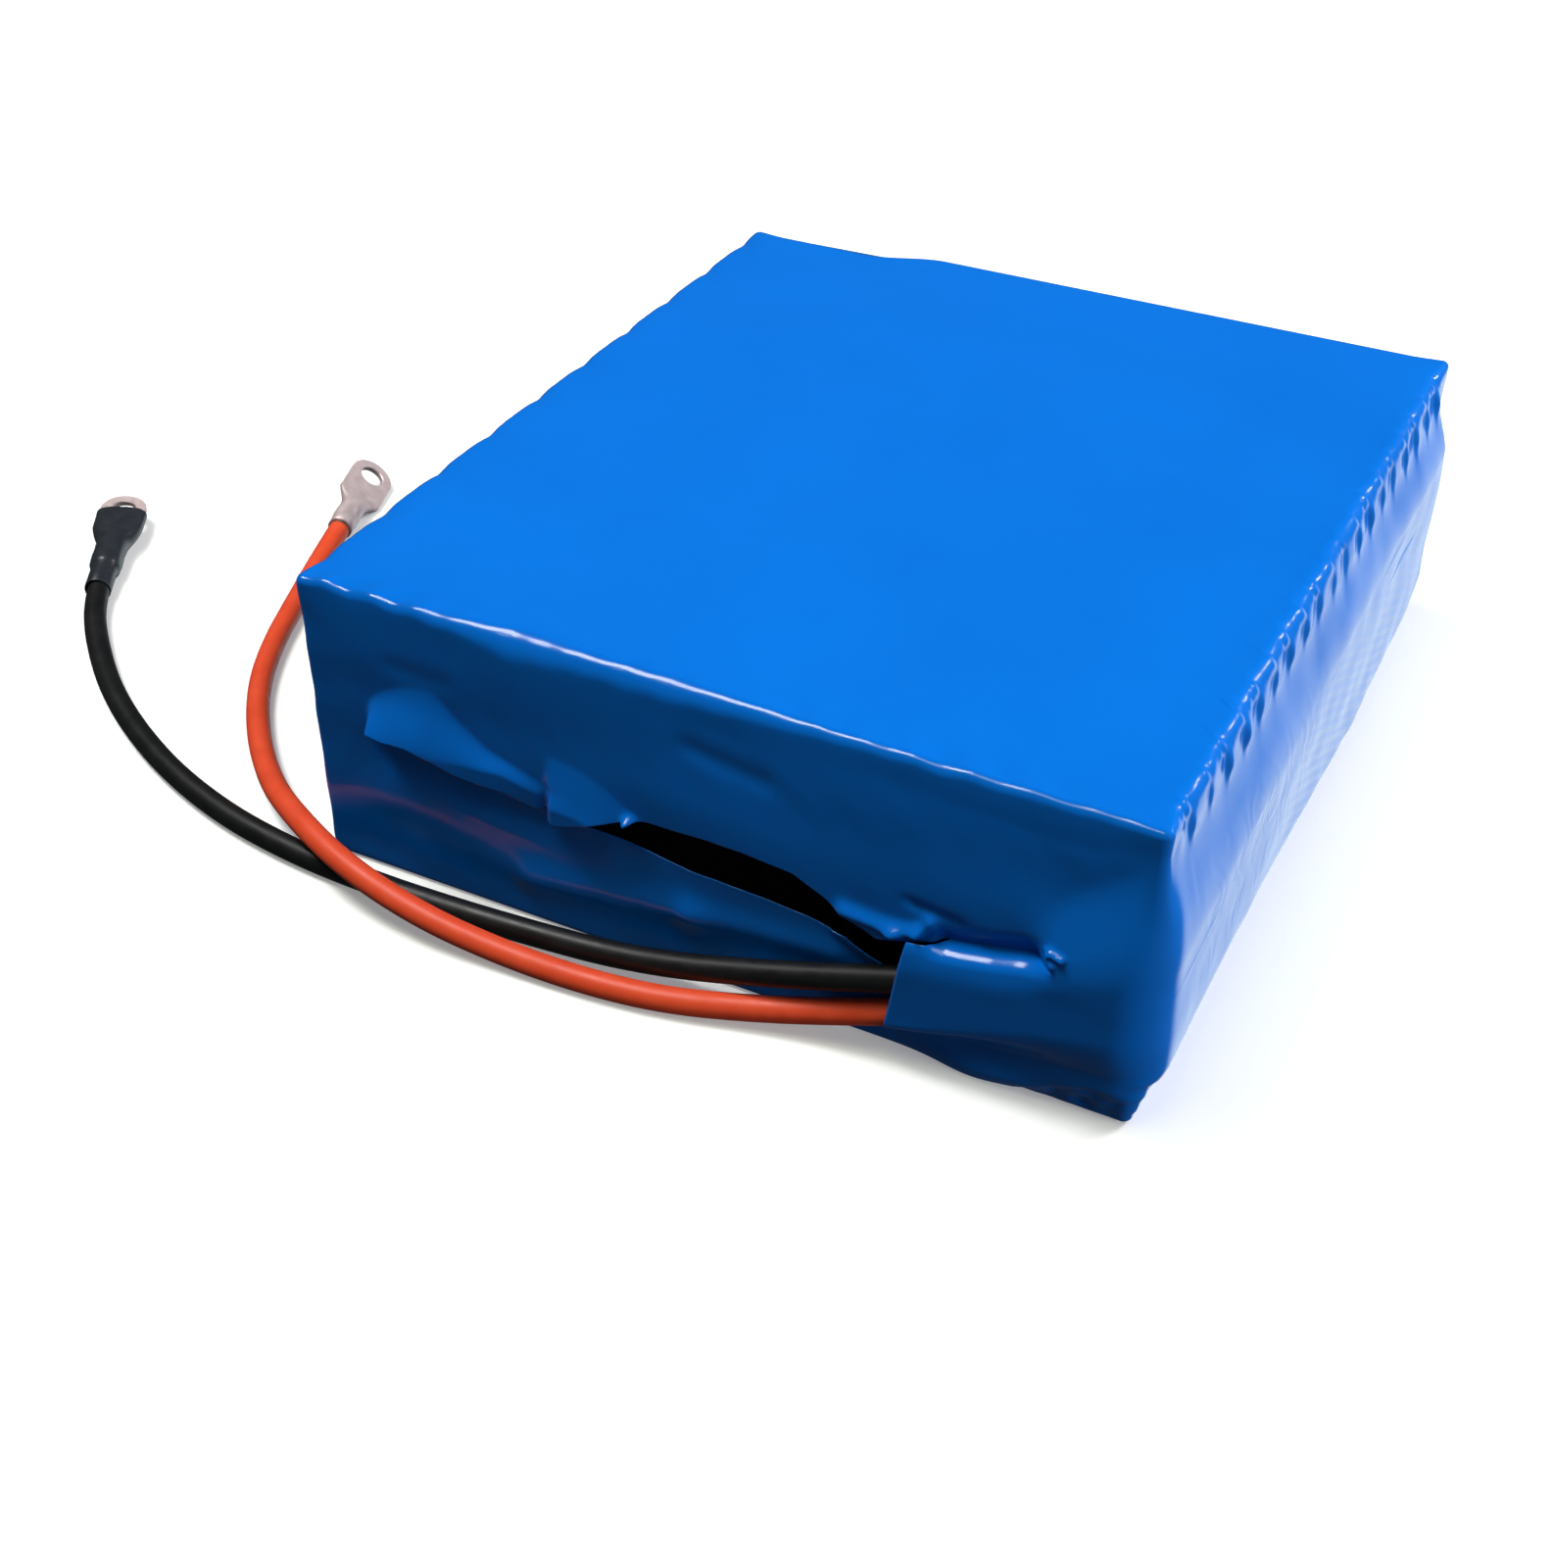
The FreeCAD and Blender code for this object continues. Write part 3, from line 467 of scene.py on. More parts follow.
# Film --------------------------
#
# The film is laid out in columns round the pack and in rows from the middle of the underside, up the
# sides, to the middle of the top. Lengths are in mm from the pack's front left lower corner. The
# functions below say how far the film stands out from the pack's plain outline.

PITCH, FIRST_VALLEY, ROWS = 20.2, 9.4, 9  # the rows of cells
LAST_VALLEY = FIRST_VALLEY + ROWS * PITCH
BACK_STEP, STEP_START, STEP_END = 5.4, 33.0, 53.0  # the back's left part is set in
UPRIGHT_RADIUS, BOTTOM_RADIUS, CORNER_TOP_RADIUS = 1.8, 1.6, 1.5
SLEEVE_MOUTH = 136.0
CLOSED_FROM = 144.5  # the two sheets stay joined from here to the right
FILM_THICKNESS = 0.3
# The rows on the top and on the underside, as shares of the way to the middle
INNER_RINGS = np.array([0.012, 0.026, 0.045, 0.075, 0.12, 0.22, 0.4, 0.65, 0.92])
LOWER_ROWS, CROWDED_ROWS, UPPER_ROWS = 40, 12, 60
CROWDED = 3.2  # the crowded rows' height in all, just below the split
TURN_COLUMNS = 7  # columns in each upright corner's round
COLUMN = (slice(None), None)  # makes one value per column fit the array of columns by rows

# The gap between the front's two sheets, as (x, z) along the edge of the upper and of the lower one
SPLIT_RIGHT = (
    (142.2, 31.6), (144.5, 31.9), (147.7, 32.3), (154.4, 33.6), (159.2, 34.9), (164, 35.8),
    (170, 36.0), (183, 36.0),
)
UPPER_EDGE = (
    (0, 34.5), (12, 37.6), (15.6, 38.9), (17.0, 39.0), (20.9, 38.7), (26.5, 38.7), (32.3, 37.0),
    (37.2, 34.6), (42.5, 33.7), (47.8, 33.2), (52.3, 31.9), (56.0, 31.2), (57.1, 32.2), (58.9, 30.9),
    (60.9, 30.4), (67.2, 32.5), (72.2, 34.5), (77.1, 36.3), (81.1, 37.0), (85.0, 37.2), (94.2, 37.7),
    (102, 37.6), (113, 36.6), (119.3, 33.6), (122.5, 31.7), (126.3, 30.2), (130.6, 28.5),
    (135.2, 30.1), (139, 31.0), *SPLIT_RIGHT,
)
LOWER_EDGE = (
    (0, 34.5), (12, 37.6), (14.6, 38.4), (15.4, 38.0), (17, 35.2), (26, 35.0), (32, 33.8), (42, 31.8),
    (52, 30.7), (57, 30.3), (60.5, 29.4), (70.3, 29.6), (80.6, 28.7), (89.3, 27.0), (102, 26.3),
    (115, 25.5), (118.9, 24.8), (123.6, 24.4), (126.0, 22.8), (128.7, 21.2), (133.0, 20.2),
    (135.99, 19.6), (136.01, 31.4), (139, 31.6), *SPLIT_RIGHT,
)

# Each lead inside the film: its middle's height along a side, and how far out it lies
BLACK_BEHIND_FRONT = ((136.7, 20.5), (150, 24.6), (176, 32.6)), ((136.7, 2.9), (176, 2.7))
RED_BEHIND_FRONT = ((135.4, 11.6), (150, 16.6), (176, 24.4)), ((135.4, 2.9), (176, 2.7))
OUT_ON_RIGHT = (0, 1.575), (190, 1.575), (200, -3)
BLACK_BEHIND_RIGHT = ((3, 32.6), (41.5, 36.6), (97.5, 41.0), (155.5, 44.6), (196, 46.5)), OUT_ON_RIGHT
RED_BEHIND_RIGHT = ((3, 24.4), (41.5, 28.8), (97.5, 33.8), (155.5, 37.6), (196, 39.5)), OUT_ON_RIGHT


def smooth(low, high, v):
    """0 at low and 1 at high, with an easy start and end."""
    t = np.clip((np.asarray(v, float) - low) / (high - low), 0, 1)
    return t * t * (3 - 2 * t)


def knots(v, *pairs):
    """A value that follows (place, value) pairs."""
    places, values = zip(*pairs)
    return np.interp(v, places, values)


def hump(x, z, x0, z0, reach_x, reach_z):
    """1 at a place, falling off round it."""
    return np.exp(-(((x - x0) / reach_x) ** 2) - ((z - z0) / reach_z) ** 2)


def ridge(x, z, first, last, width):
    """1 along a segment, falling off over a width."""
    ax, az = last[0] - first[0], last[1] - first[1]
    t = np.clip(((x - first[0]) * ax + (z - first[1]) * az) / (ax * ax + az * az), 0, 1)
    distance = np.hypot(x - first[0] - t * ax, z - first[1] - t * az)
    return np.exp(-((distance / width) ** 2))


def ridges(x, z, *rows):
    """The sum of ridges, each as height, first, last and width."""
    return sum(height * ridge(x, z, first, last, width) for height, first, last, width in rows)


def ripples(seed, u, v, reach, count=9):
    """Smooth seeded unevenness of about unit size and a typical reach in mm."""
    random = np.random.default_rng(seed)
    total = np.zeros(np.broadcast(u, v).shape)
    for _ in range(count):
        angle, phase = random.uniform(0, math.tau, 2)
        wave = math.tau / (reach * random.uniform(0.6, 1.6))
        total = total + np.sin(wave * (u * math.cos(angle) + v * math.sin(angle)) + phase)
    return total / math.sqrt(count)


def crest(y):
    """1 on a cell's crown and 0 in the valley between two cells, along the sides."""
    across = np.sqrt(np.sin(np.pi * (y - FIRST_VALLEY) / PITCH) ** 2 + 0.03) - 0.015
    wavy = 1 - np.clip(1 - across, 0, 1) ** 1.8
    inside = smooth(FIRST_VALLEY - 8, FIRST_VALLEY - 2, y)
    inside = inside * (1 - smooth(LAST_VALLEY + 2, LAST_VALLEY + 8, y))
    return 1 - inside * (1 - wavy)


def split_heights(x):
    """Along the front, the lower sheet's top edge and the upper sheet's bottom edge."""
    high, low = knots(x, *UPPER_EDGE), knots(x, *LOWER_EDGE)
    return np.where(x < SLEEVE_MOUTH, np.minimum(low, high), low), high


def over_leads(along, z, *leads):
    """How far the film stands out where it lies on the leads inside."""
    reach = np.zeros(np.broadcast(along, z).shape)
    for heights, outwards in leads:
        middle, out = knots(along, *heights), knots(along, *outwards)
        inside = np.maximum(LEAD_DIAMETER**2 / 4 - (z - middle) ** 2, 0)
        reach = np.maximum(reach, np.where(inside > 0, out + np.sqrt(inside) + 0.35, 0))
    return reach


def channel_front(x, z):
    """The sleeve and the film over the leads, on the front: a ledge above and a hollow below."""
    shoulder_reach = 2.3
    top = split_heights(x)[0]
    under = knots(x, (136, 0.3), (150, 1.3), (160, 2.2), (170, 3.0), (183, 3.6))
    turn = knots(x, (136, 10.6), (143, 13.0), (150, 15.6), (164, 21.0), (176, 24.0), (183, 26))
    reach = knots(x, (136, 4.0), (150, 6.0), (164, 9.0), (183, 12))
    fold = np.clip((z - turn + reach) / reach, 0, 1)
    level = under + (FRONT_STAND + 0.1 - under) * np.sin(fold * np.pi / 2) ** 1.1
    level = level * smooth(0, 4.5, z)
    # the ledge: the sleeve leans back towards its top and turns in over a round shoulder
    close = knots(x, (136, 0.10), (140, 0.15), (142.5, 0.5), (145, 1.0), (183, 1.0))
    lean = np.clip((z - top + 8.0) / 8.0, 0, 1) ** 2
    lean = lean * knots(x, (136, 1.2), (145, 1.7), (183, 1.7))
    over = np.clip((z - top + shoulder_reach) / shoulder_reach, 0, 1)
    shoulder = 1 - close * (1 - np.sqrt(1 - over**2))
    # further right the ledge gives way to one gentle swell up the front
    head = knots(x, (136, 48), (165, 54), (183, 66))
    gentle = 1 - smooth(knots(x, (136, 28), (165, 31), (183, 38)), head, z)
    rise = np.clip(z - 36, 0, 25)
    blend = smooth(0, 1, (x - 160.5 + rise) / (6.5 + rise))
    return level * blend * gentle + np.maximum(level - lean, 0) * (1 - blend) * shoulder


def front_base(x, z):
    """The film's own bulges on the front, above the lower sheet and right of it."""
    bulge = (0, 0), (50, 0.2), (70, 1.2), (85, 1.6), (115, 2.0), (136, 2.2), (160, 2.1), (183, 1.2)
    level = knots(x, *bulge) * (1 - smooth(38, HEIGHT - 4, z))
    valley = split_heights(x)[1]
    rise = smooth(valley - 0.3, valley + 6.0, z)
    behind_ledge = smooth(141, 144, x) * (1 - smooth(162, 168, x))
    level = level * np.where(x > 141, 1 - (1 - rise) * behind_ledge * 0.85, 1)
    level += 0.14 * ripples(6, x, z * 1.5, 34) + 0.04 * ripples(7, x, z, 10)
    return level


def front_right(x, z):
    """The film right of the sleeve's mouth, on both sides of the valley behind the sleeve."""
    valley = split_heights(x)[1]
    channel = np.maximum(channel_front(x, z), 0)
    base = front_base(x, z) * smooth(valley - 2.5, valley, z)
    raised = np.maximum(base, 0)
    return base - raised + (channel**3 + raised**3 + 1e-9) ** (1 / 3)


def front_lower(x, z):
    """How far the sheet below the split stands out from the front's plane."""
    edge, valley = split_heights(x)
    level = 1.0 * ridge(x, z, (52, 12), (89, 16.5), 4.0) * smooth(136, 118, x)
    level += 0.8 * ridge(x, z, (89, 16.5), (121, 19.0), 3.2) * smooth(136, 124, x)
    level += 0.4 * ridge(x, z, (20, 20), (52, 12), 6.0)
    # it lies deeper under the flap above
    depth = knots(
        x, (14.4, 0), (16.4, 1.6), (34, 1.6), (46, 1.3), (56, 0.6), (66, 0.1), (120, 0.1), (130, 0.4)
    )
    level -= depth * smooth(edge - 10, edge - 2, z)
    level += 1.1 * ridge(x, z, (122, 25), (134, 19.0), 1.7)
    level += 0.12 * ripples(3, x, z * 1.6, 30) + 0.05 * ripples(4, x, z, 9)
    level += (front_base(x, z) - level) * smooth(edge - 7, edge, z) * (1 - smooth(12.5, 14.6, x))
    level = level * smooth(0.5, 6.0, z)
    # the sleeve
    channel = channel_front(x, z)
    sleeve = channel + (front_right(x, z) - channel) * smooth(142, 144.5, x)
    sleeve += 0.07 * ripples(5, x, z * 1.3, 22) * smooth(1, 8, z) * smooth(2, 6, valley - z)
    sleeve = np.maximum(sleeve, over_leads(x, z, BLACK_BEHIND_FRONT, RED_BEHIND_FRONT))
    swell = 1.9 * hump(x, z, 151.5, 0.5, 9, 5)
    joined = smooth(126, 135.9, x) * (1 - smooth(5.0, 8.0, z))
    return np.where(x < SLEEVE_MOUTH, level + (channel - level) * joined, sleeve) + swell


def lifted_fold(x, z):
    """The lifted fold at the left end of the upper flap."""
    top = knots(
        x, (12, 42), (15, 44.5), (18.4, 47.4), (24, 50.6), (31.3, 51.6), (36.5, 46.5), (44, 41.5),
        (56, 38),
    )
    lift = knots(
        x, (14.6, 0), (15.6, 3.4), (16.6, 5.3), (20.9, 5.4), (26.5, 5.0), (32.3, 4.1), (37.2, 3.2),
        (42.5, 2.5), (47.8, 1.8), (52.3, 1.3), (56.2, 0.8), (57.0, 0.4), (60, 0.3), (66, 0.0),
    )
    slope = np.clip((top - z) / np.maximum(top - 37.5, 3), 0, 1)
    lift = lift * (slope * slope * (3 - 2 * slope) * 0.55 + 0.45 * slope)
    return lift - 0.28 * ridge(x, z, (22, 54.5), (34, 54), 2.4)


def second_fold(x, z):
    """The lighter patch right of the first fold, and the glint beside it."""
    top = knots(x, (57, 45), (66, 44.5), (72, 42), (78, 38), (84, 33))
    reach = np.clip((top - z) / 10.5, 0, 1) * smooth(56.5, 60, x)
    level = 2.7 * reach**1.15 - 0.8 * ridge(x, z, (57.0, 30), (58.5, 37), 1.0)
    return level + 2.8 * hump(x, z, 77.1, 36.3, 1.1, 1.0)


def pucker_and_hook(x, z):
    """The pucker above the sleeve's mouth, and the hooked fold where the sleeve's ledge ends."""
    tail = 1.3 * ridge(x, z, (137.5, 33.1), (140.4, 35.9), 1.5) * smooth(143.5, 141, x)
    return tail + ridges(
        x, z,
        (1.5, (124, 32.4), (133, 31.7), 1.5),
        (1.5, (133, 31.7), (137.5, 33.1), 1.4),
        (-0.9, (137, 38.6), (147, 37.6), 1.3),
        (1.35, (164.9, 39.6), (166.2, 37.8), 0.6),
        (1.35, (165.6, 40.0), (168.0, 39.6), 0.6),
    )


def front_upper(x, z):
    """How far the flap above the split stands out from the front's plane."""
    folds = lifted_fold(x, z) + second_fold(x, z) + pucker_and_hook(x, z)
    folds -= 0.45 * ridge(x, z, (90, 57), (106, 54.5), 2.4)
    left, right = front_base(x, z), front_right(x, z)
    level = left + (right - left) * smooth(144.6, 149, x) + folds
    level = level * smooth(HEIGHT - 1, HEIGHT - 8, z)
    return np.where(x >= 142, np.maximum(level, over_leads(x, z, BLACK_BEHIND_FRONT)), level)


def fins(y):
    """Twice a row, a recess below the right top edge, deepest at its front end, where it is 1."""
    part = ((y - FIRST_VALLEY - 1.5) / (PITCH / 2)) % 1
    inside = smooth(3, 9, y) * smooth(LENGTH - 3, LENGTH - 12, y)
    uneven = 1 + 0.3 * ripples(73, y, 0 * y, 17, 5)
    return smooth(0, 0.22, part) * (1 - part) * 1.25 * inside * uneven


def side_right(y, z):
    """How far the right side stands out over the leads, which slope down towards the front."""
    foot = knots(y, (0, 1.0), (60, 0.5), (140, -1.0), (207, 0))
    full = knots(y, (0, 15), (40, 17), (70, 15), (100, 12), (140, 9), (185, 12), (207, 22))
    end = knots(y, (0, 38), (60, 42), (130, 47), (207, 50))
    head = knots(y, (0, 68), (60, 67), (207, 67))
    profile = smooth(foot, full, z) ** 0.8 * (1 - smooth(end, head, z))
    level = SIDE_STAND * profile * (1 - smooth(197, 206, y))
    level += 0.20 * ripples(11, y, z * 1.4, 40) * smooth(1, 8, z)
    level += 0.035 * ripples(12, y * 1.2, z, 12) * smooth(2, 10, z) * smooth(66, 58, z)
    level += 0.85 * fins(y) * np.exp(-(((z - 63.8) / 3.0) ** 2))
    swirl = smooth(8, 24, y) * smooth(104, 80, y) * smooth(16, 26, z) * (1 - smooth(44, 54, z))
    phase = math.tau * (0.8 * y + 0.3 * z) / 5 + 2.6 * ripples(14, y, z, 12)
    level += 0.025 * swirl * np.sin(phase)
    return np.maximum(level, over_leads(y, z, BLACK_BEHIND_RIGHT, RED_BEHIND_RIGHT))


def side_left(y, z):
    """The left side, with a short crease down from the top edge at each valley."""
    level = 0.30 * ripples(21, y, z * 1.4, 30) + 0.08 * ripples(22, y, z, 10)
    for n in range(ROWS + 1):
        valley = FIRST_VALLEY + n * PITCH
        level = level - 0.55 * ridge(y, z, (valley, HEIGHT - 1), (valley + 0.6, HEIGHT - 9), 1.2)
    return level * smooth(1, 8, z) * smooth(HEIGHT - 0.5, HEIGHT - 3, z)


def side_back(x, z):
    """The back, where one flap of the film overlaps the other."""
    level = 0.30 * ripples(31, x, z * 1.3, 34) + 0.08 * ripples(32, x, z, 10)
    seam = 36 + 3.0 * np.sin(x / 21.0) + 1.2 * np.sin(x / 7.3 + 1)
    flap = smooth(8, 18, x) * smooth(176, 166, x)
    level = level + flap * np.where(z > seam, 1.1 * np.clip(1 - (z - seam) / 26, 0, 1), -0.25)
    level += 0.6 * flap * ripples(33, x, z, 14) * np.exp(-(((z - seam - 3) / 5) ** 2))
    return level * smooth(1, 8, z) * smooth(HEIGHT - 0.5, HEIGHT - 5, z)


def back_line(x):
    return LENGTH - BACK_STEP * (1 - smooth(STEP_START, STEP_END, x))


def plan_loop():
    """The columns round the pack, as arrays.

    x and y are on the plain outline, and nx and ny point out of it. ux and uy are the same place on
    the outline with sharp corners, and sx and sy point out of such a corner. A column is on the side
    first, or by its mix between the sides first and second. 0 is the front, 1 the right side, 2 the
    back and 3 the left side.
    """
    radius, rows = UPRIGHT_RADIUS, []
    left_back = back_line(0.0)

    def run(values, base, normal, side):
        for value in values:
            x, y = base(value)
            rows.append((x, y, *normal, *normal, side, side, 0.0, x, y))

    def turn(centre, start, signs, sides, corner):
        for i in range(1, TURN_COLUMNS + 1):
            mix = i / (TURN_COLUMNS + 1)
            angle = math.radians(start + 90 * mix)
            nx, ny = math.cos(angle), math.sin(angle)
            x, y = centre[0] + radius * nx, centre[1] + radius * ny
            rows.append((x, y, nx, ny, *signs, *sides, mix, *corner))

    front = np.r_[
        radius:12.6:0.7,
        12.7:14.2:0.25,
        14.8 : SLEEVE_MOUTH - 0.4 : 0.7,
        SLEEVE_MOUTH - 0.02,
        SLEEVE_MOUTH + 0.02,
        SLEEVE_MOUTH + 0.6 : 162.9 : 0.65,
        163.2:169.6:0.3,
        169.9 : WIDTH - radius + 0.01 : 0.65,
    ]
    run(front, lambda x: (x, 0.0), (0, -1), 0)
    turn((WIDTH - radius, radius), -90, (1, -1), (0, 1), (WIDTH, 0.0))
    run(np.linspace(radius, LENGTH - radius, 372), lambda y: (WIDTH, y), (1, 0), 1)
    turn((WIDTH - radius, LENGTH - radius), 0, (1, 1), (1, 2), (WIDTH, LENGTH))
    run(np.linspace(WIDTH - radius, radius, 170), lambda x: (x, back_line(x)), (0, 1), 2)
    turn((radius, left_back - radius), 90, (-1, 1), (2, 3), (0.0, left_back))
    run(np.linspace(left_back - radius, radius, 230), lambda y: (0.0, y), (-1, 0), 3)
    turn((radius, radius), 180, (-1, -1), (3, 0), (0.0, 0.0))
    fields = ("x", "y", "nx", "ny", "sx", "sy", "first", "second", "mix", "ux", "uy")
    loop = SimpleNamespace(**dict(zip(fields, np.array(rows).T)))
    loop.turned = loop.first != loop.second
    loop.weights = [
        np.where(loop.first == side, 1 - loop.mix, 0) + np.where(loop.second == side, loop.mix, 0)
        for side in range(4)
    ]
    # 0 at an upright corner and 1 away from it
    far_end = np.where(loop.first == 3, left_back, LENGTH)
    along_x, along_y = np.minimum(loop.ux, WIDTH - loop.ux), np.minimum(loop.uy, far_end - loop.uy)
    to_end = np.where(loop.first % 2 == 0, along_x, along_y)
    loop.off_corner = smooth(0, 9, np.where(loop.turned, 0, to_end))
    return loop


def top_radius(loop):
    """The round of the top edge on each side, the same at every upright corner."""
    front = knots(
        loop.ux, (0, 1.8), (8, 1.6), (20, 1.8), (30, 2.2), (42, 3.0), (50, 4.7), (58, 4.7),
        (75, 3.8), (100, 3.0), (118, 2.0), (140, 1.7), (183, 1.6),
    )
    middle = smooth(5, 12, loop.ux) * smooth(178, 170, loop.ux)
    front = front * (1 + 0.10 * ripples(71, loop.ux, 0 * loop.ux, 9) * middle)
    right = 2.5 + 1.4 * np.clip(fins(loop.uy), 0, 1)
    radii = (front, right, 2.6, 2.0)
    radius = sum(weight * radius for weight, radius in zip(loop.weights, radii))
    return CORNER_TOP_RADIUS + (radius - CORNER_TOP_RADIUS) * loop.off_corner


def film_rows(loop):
    """Each point's inset from the outline and its height, each row's share of the way to the middle,
    and the first row above the split.
    """
    low, high = split_heights(np.clip(loop.ux, 0, WIDTH))
    across_back = 34.5 + 1.5 * loop.ux / WIDTH
    around = np.where(loop.first == 1, 36.0, np.where(loop.first == 3, 34.5, across_back))
    low, high = (np.where(loop.weights[0] > 0, edge, around) for edge in (low, high))
    radius, ones = top_radius(loop), np.ones_like(loop.x)
    rows = [(BOTTOM_RADIUS * ones, 0 * ones) for _ in INNER_RINGS]
    for i in range(6):
        angle = math.pi / 2 * i / 5
        inset, height = BOTTOM_RADIUS * (1 - math.sin(angle)), BOTTOM_RADIUS * (1 - math.cos(angle))
        rows.append((inset * ones, height * ones))
    for i in range(1, LOWER_ROWS + 1):
        rows.append((0 * ones, BOTTOM_RADIUS + (low - CROWDED - BOTTOM_RADIUS) * i / LOWER_ROWS))
    for i in range(1, CROWDED_ROWS + 1):
        rows.append((0 * ones, low - CROWDED + CROWDED * math.sin(math.pi / 2 * i / CROWDED_ROWS)))
    split = len(rows)
    for i in range(UPPER_ROWS):
        share = (0.5 + 0.5 * i / UPPER_ROWS) * i / UPPER_ROWS
        rows.append((0 * ones, high + (HEIGHT - radius - high) * share))
    for i in range(9):
        angle = math.pi / 2 * i / 8
        rows.append((radius * (1 - math.cos(angle)), HEIGHT - radius * (1 - math.sin(angle))))
    rows += [(radius, HEIGHT * ones) for _ in INNER_RINGS]
    inset, z = (np.array(values).T for values in zip(*rows))
    shrink = np.zeros(len(rows))
    shrink[: len(INNER_RINGS)], shrink[-len(INNER_RINGS) :] = INNER_RINGS[::-1], INNER_RINGS
    return inset, z, shrink, split


def near_ends(shrink, reach):
    """1 on the sides and 0 from a share of the way to the middle of the top or the underside."""
    return np.clip(1 - shrink / reach, 0, 1)[None, :]


def foot_layers(loop, z, out):
    """The outer layer's lower edge at the front right foot, and the crinkled inner layer there."""
    along = np.where(loop.ux > WIDTH - 0.01, WIDTH + loop.uy, loop.ux)
    near = (loop.weights[0] + loop.weights[1] > 0.99) & (along > 150) & (along < 250)
    lip = knots(
        along, (158, -1), (164, 3.5), (175, 8.6), (183, 11.5), (190, 9.5), (205, 6.5), (228, 2.5),
        (240, -1),
    )[COLUMN]
    along, taper = along[COLUMN], smooth(158, 172, along) * (1 - smooth(200, 225, along)) * near
    out = out + (np.minimum(out, 0.3 + 0.33 * z) - out) * taper[COLUMN]
    under = smooth(0.5, -0.2, z - lip - 0.35 * ripples(52, along, 0 * z, 8))
    crinkle = 0.28 * ripples(51, along, z * 1.2, 6.0) * smooth(0, 2.5, z)
    inner = out - np.minimum(0.65, 0.6 * np.maximum(out, 0)) + crinkle
    return np.where(near[COLUMN], out + (inner - out) * under, out)


def stand_out(loop, inset, z, shrink, split):
    """How far each point of the film stands out from the plain outline."""
    ux, uy, weights = loop.ux[COLUMN], loop.uy[COLUMN], [weight[COLUMN] for weight in loop.weights]
    below = np.arange(len(shrink))[None, :] < split
    sides = (
        np.where(below, front_lower(ux, z), front_upper(ux, z)),
        side_right(uy, z),
        side_back(ux, z),
        side_left(uy, z),
    )
    out = sum(weight * side for weight, side in zip(weights, sides))

    # the cells' crowns along both sides, strongest at the top and bottom edges
    near_edge = np.exp(-(((HEIGHT - z) / 9.0) ** 2)) + 0.8 * np.exp(-((z / 8.0) ** 2))
    crown = (0.35 * weights[1] + 0.30 * weights[3]) * crest(uy)
    scallop = (0.30 * weights[1] + 0.42 * weights[3]) * (1 - crest(uy))
    out += (crown - scallop) * near_edge
    # the front's top edge is drawn in
    drawn_in = np.clip((z - HEIGHT + 11) / 11, 0, 1) ** 2
    out -= 0.75 * weights[0] * smooth(0, 10, ux) * smooth(183, 170, ux) * drawn_in
    # star puckers round the valleys of the right top edge
    arc = HEIGHT - z - inset - 100 * shrink[None, :]
    for n in range(ROWS + 1):
        dy = uy - (FIRST_VALLEY + n * PITCH)
        angle, radius = np.arctan2(arc + 1.2, dy), np.hypot(arc + 1.2, dy)
        star = np.cos(6 * angle + 1.7 * n) * np.exp(-((radius / 3.2) ** 2)) * np.clip(radius, 0, 1)
        out += 0.20 * weights[1] * star
    shallow = 0.06 * ripples(41, uy, arc, 5.0) * np.exp(-(((arc + 1) / 3.5) ** 2))
    out += (weights[1] + 0.6 * weights[3]) * shallow

    out = foot_layers(loop, z, out)
    deepest = -0.15 - (0.3 + 1.25 * loop.weights[0]) * loop.off_corner
    return np.maximum(out * near_ends(shrink, 0.10), deepest[COLUMN])


def moved_out(loop, inset, out, shrink):
    """The points' x and y. On a side they move along its normal, and at a corner first round it."""
    drawn = inset - out
    rounded, beyond = np.minimum(drawn, UPRIGHT_RADIUS), np.maximum(drawn - UPRIGHT_RADIUS, 0)
    flat = shrink > 0
    places = []
    for base, normal, sign, middle in (
        (loop.x, loop.nx, loop.sx, WIDTH / 2),
        (loop.y, loop.ny, loop.sy, LENGTH / 2),
    ):
        base, normal, sign = base[COLUMN], normal[COLUMN], sign[COLUMN]
        turned = base - rounded * normal - beyond * sign
        place = np.where(loop.turned[COLUMN], turned, base - drawn * normal)
        # on the top and the underside each corner's columns meet in its middle one
        for start in np.flatnonzero(np.diff(loop.turned.astype(int)) == 1) + 1:
            place[start : start + TURN_COLUMNS, flat] = place[start + TURN_COLUMNS // 2, flat]
        places.append(place + (middle - place) * shrink[None, :])
    return places


def rounded_corner(px, py, z, loop):
    """Over the leads the film turns the front right corner in one wide round, a running mean."""
    reach = np.where(loop.first == 0, WIDTH - loop.ux, loop.uy)
    beside = ((loop.first == 0) & (loop.second <= 1)) | (loop.first == 1) & (loop.second == 1)
    wide, near = np.flatnonzero(beside & (reach < 48)), np.flatnonzero(beside & (reach < 30))
    travel = np.concatenate([[0], np.cumsum(np.hypot(np.diff(loop.x[wide]), np.diff(loop.y[wide])))])
    here = travel[np.searchsorted(wide, near)]
    share = np.exp(-(((here[:, None] - travel[None, :]) / 2.6) ** 2)) * np.gradient(travel)[None, :]
    share = share / share.sum(axis=1, keepdims=True)
    height, fade = z[near], (1 - smooth(6, 16, reach[near]))[:, None]
    amount = smooth(3, 16, height) * (1 - smooth(48, 66, height)) * fade
    for places in (px, py):
        places[near] += amount * (share @ places[wide] - places[near])


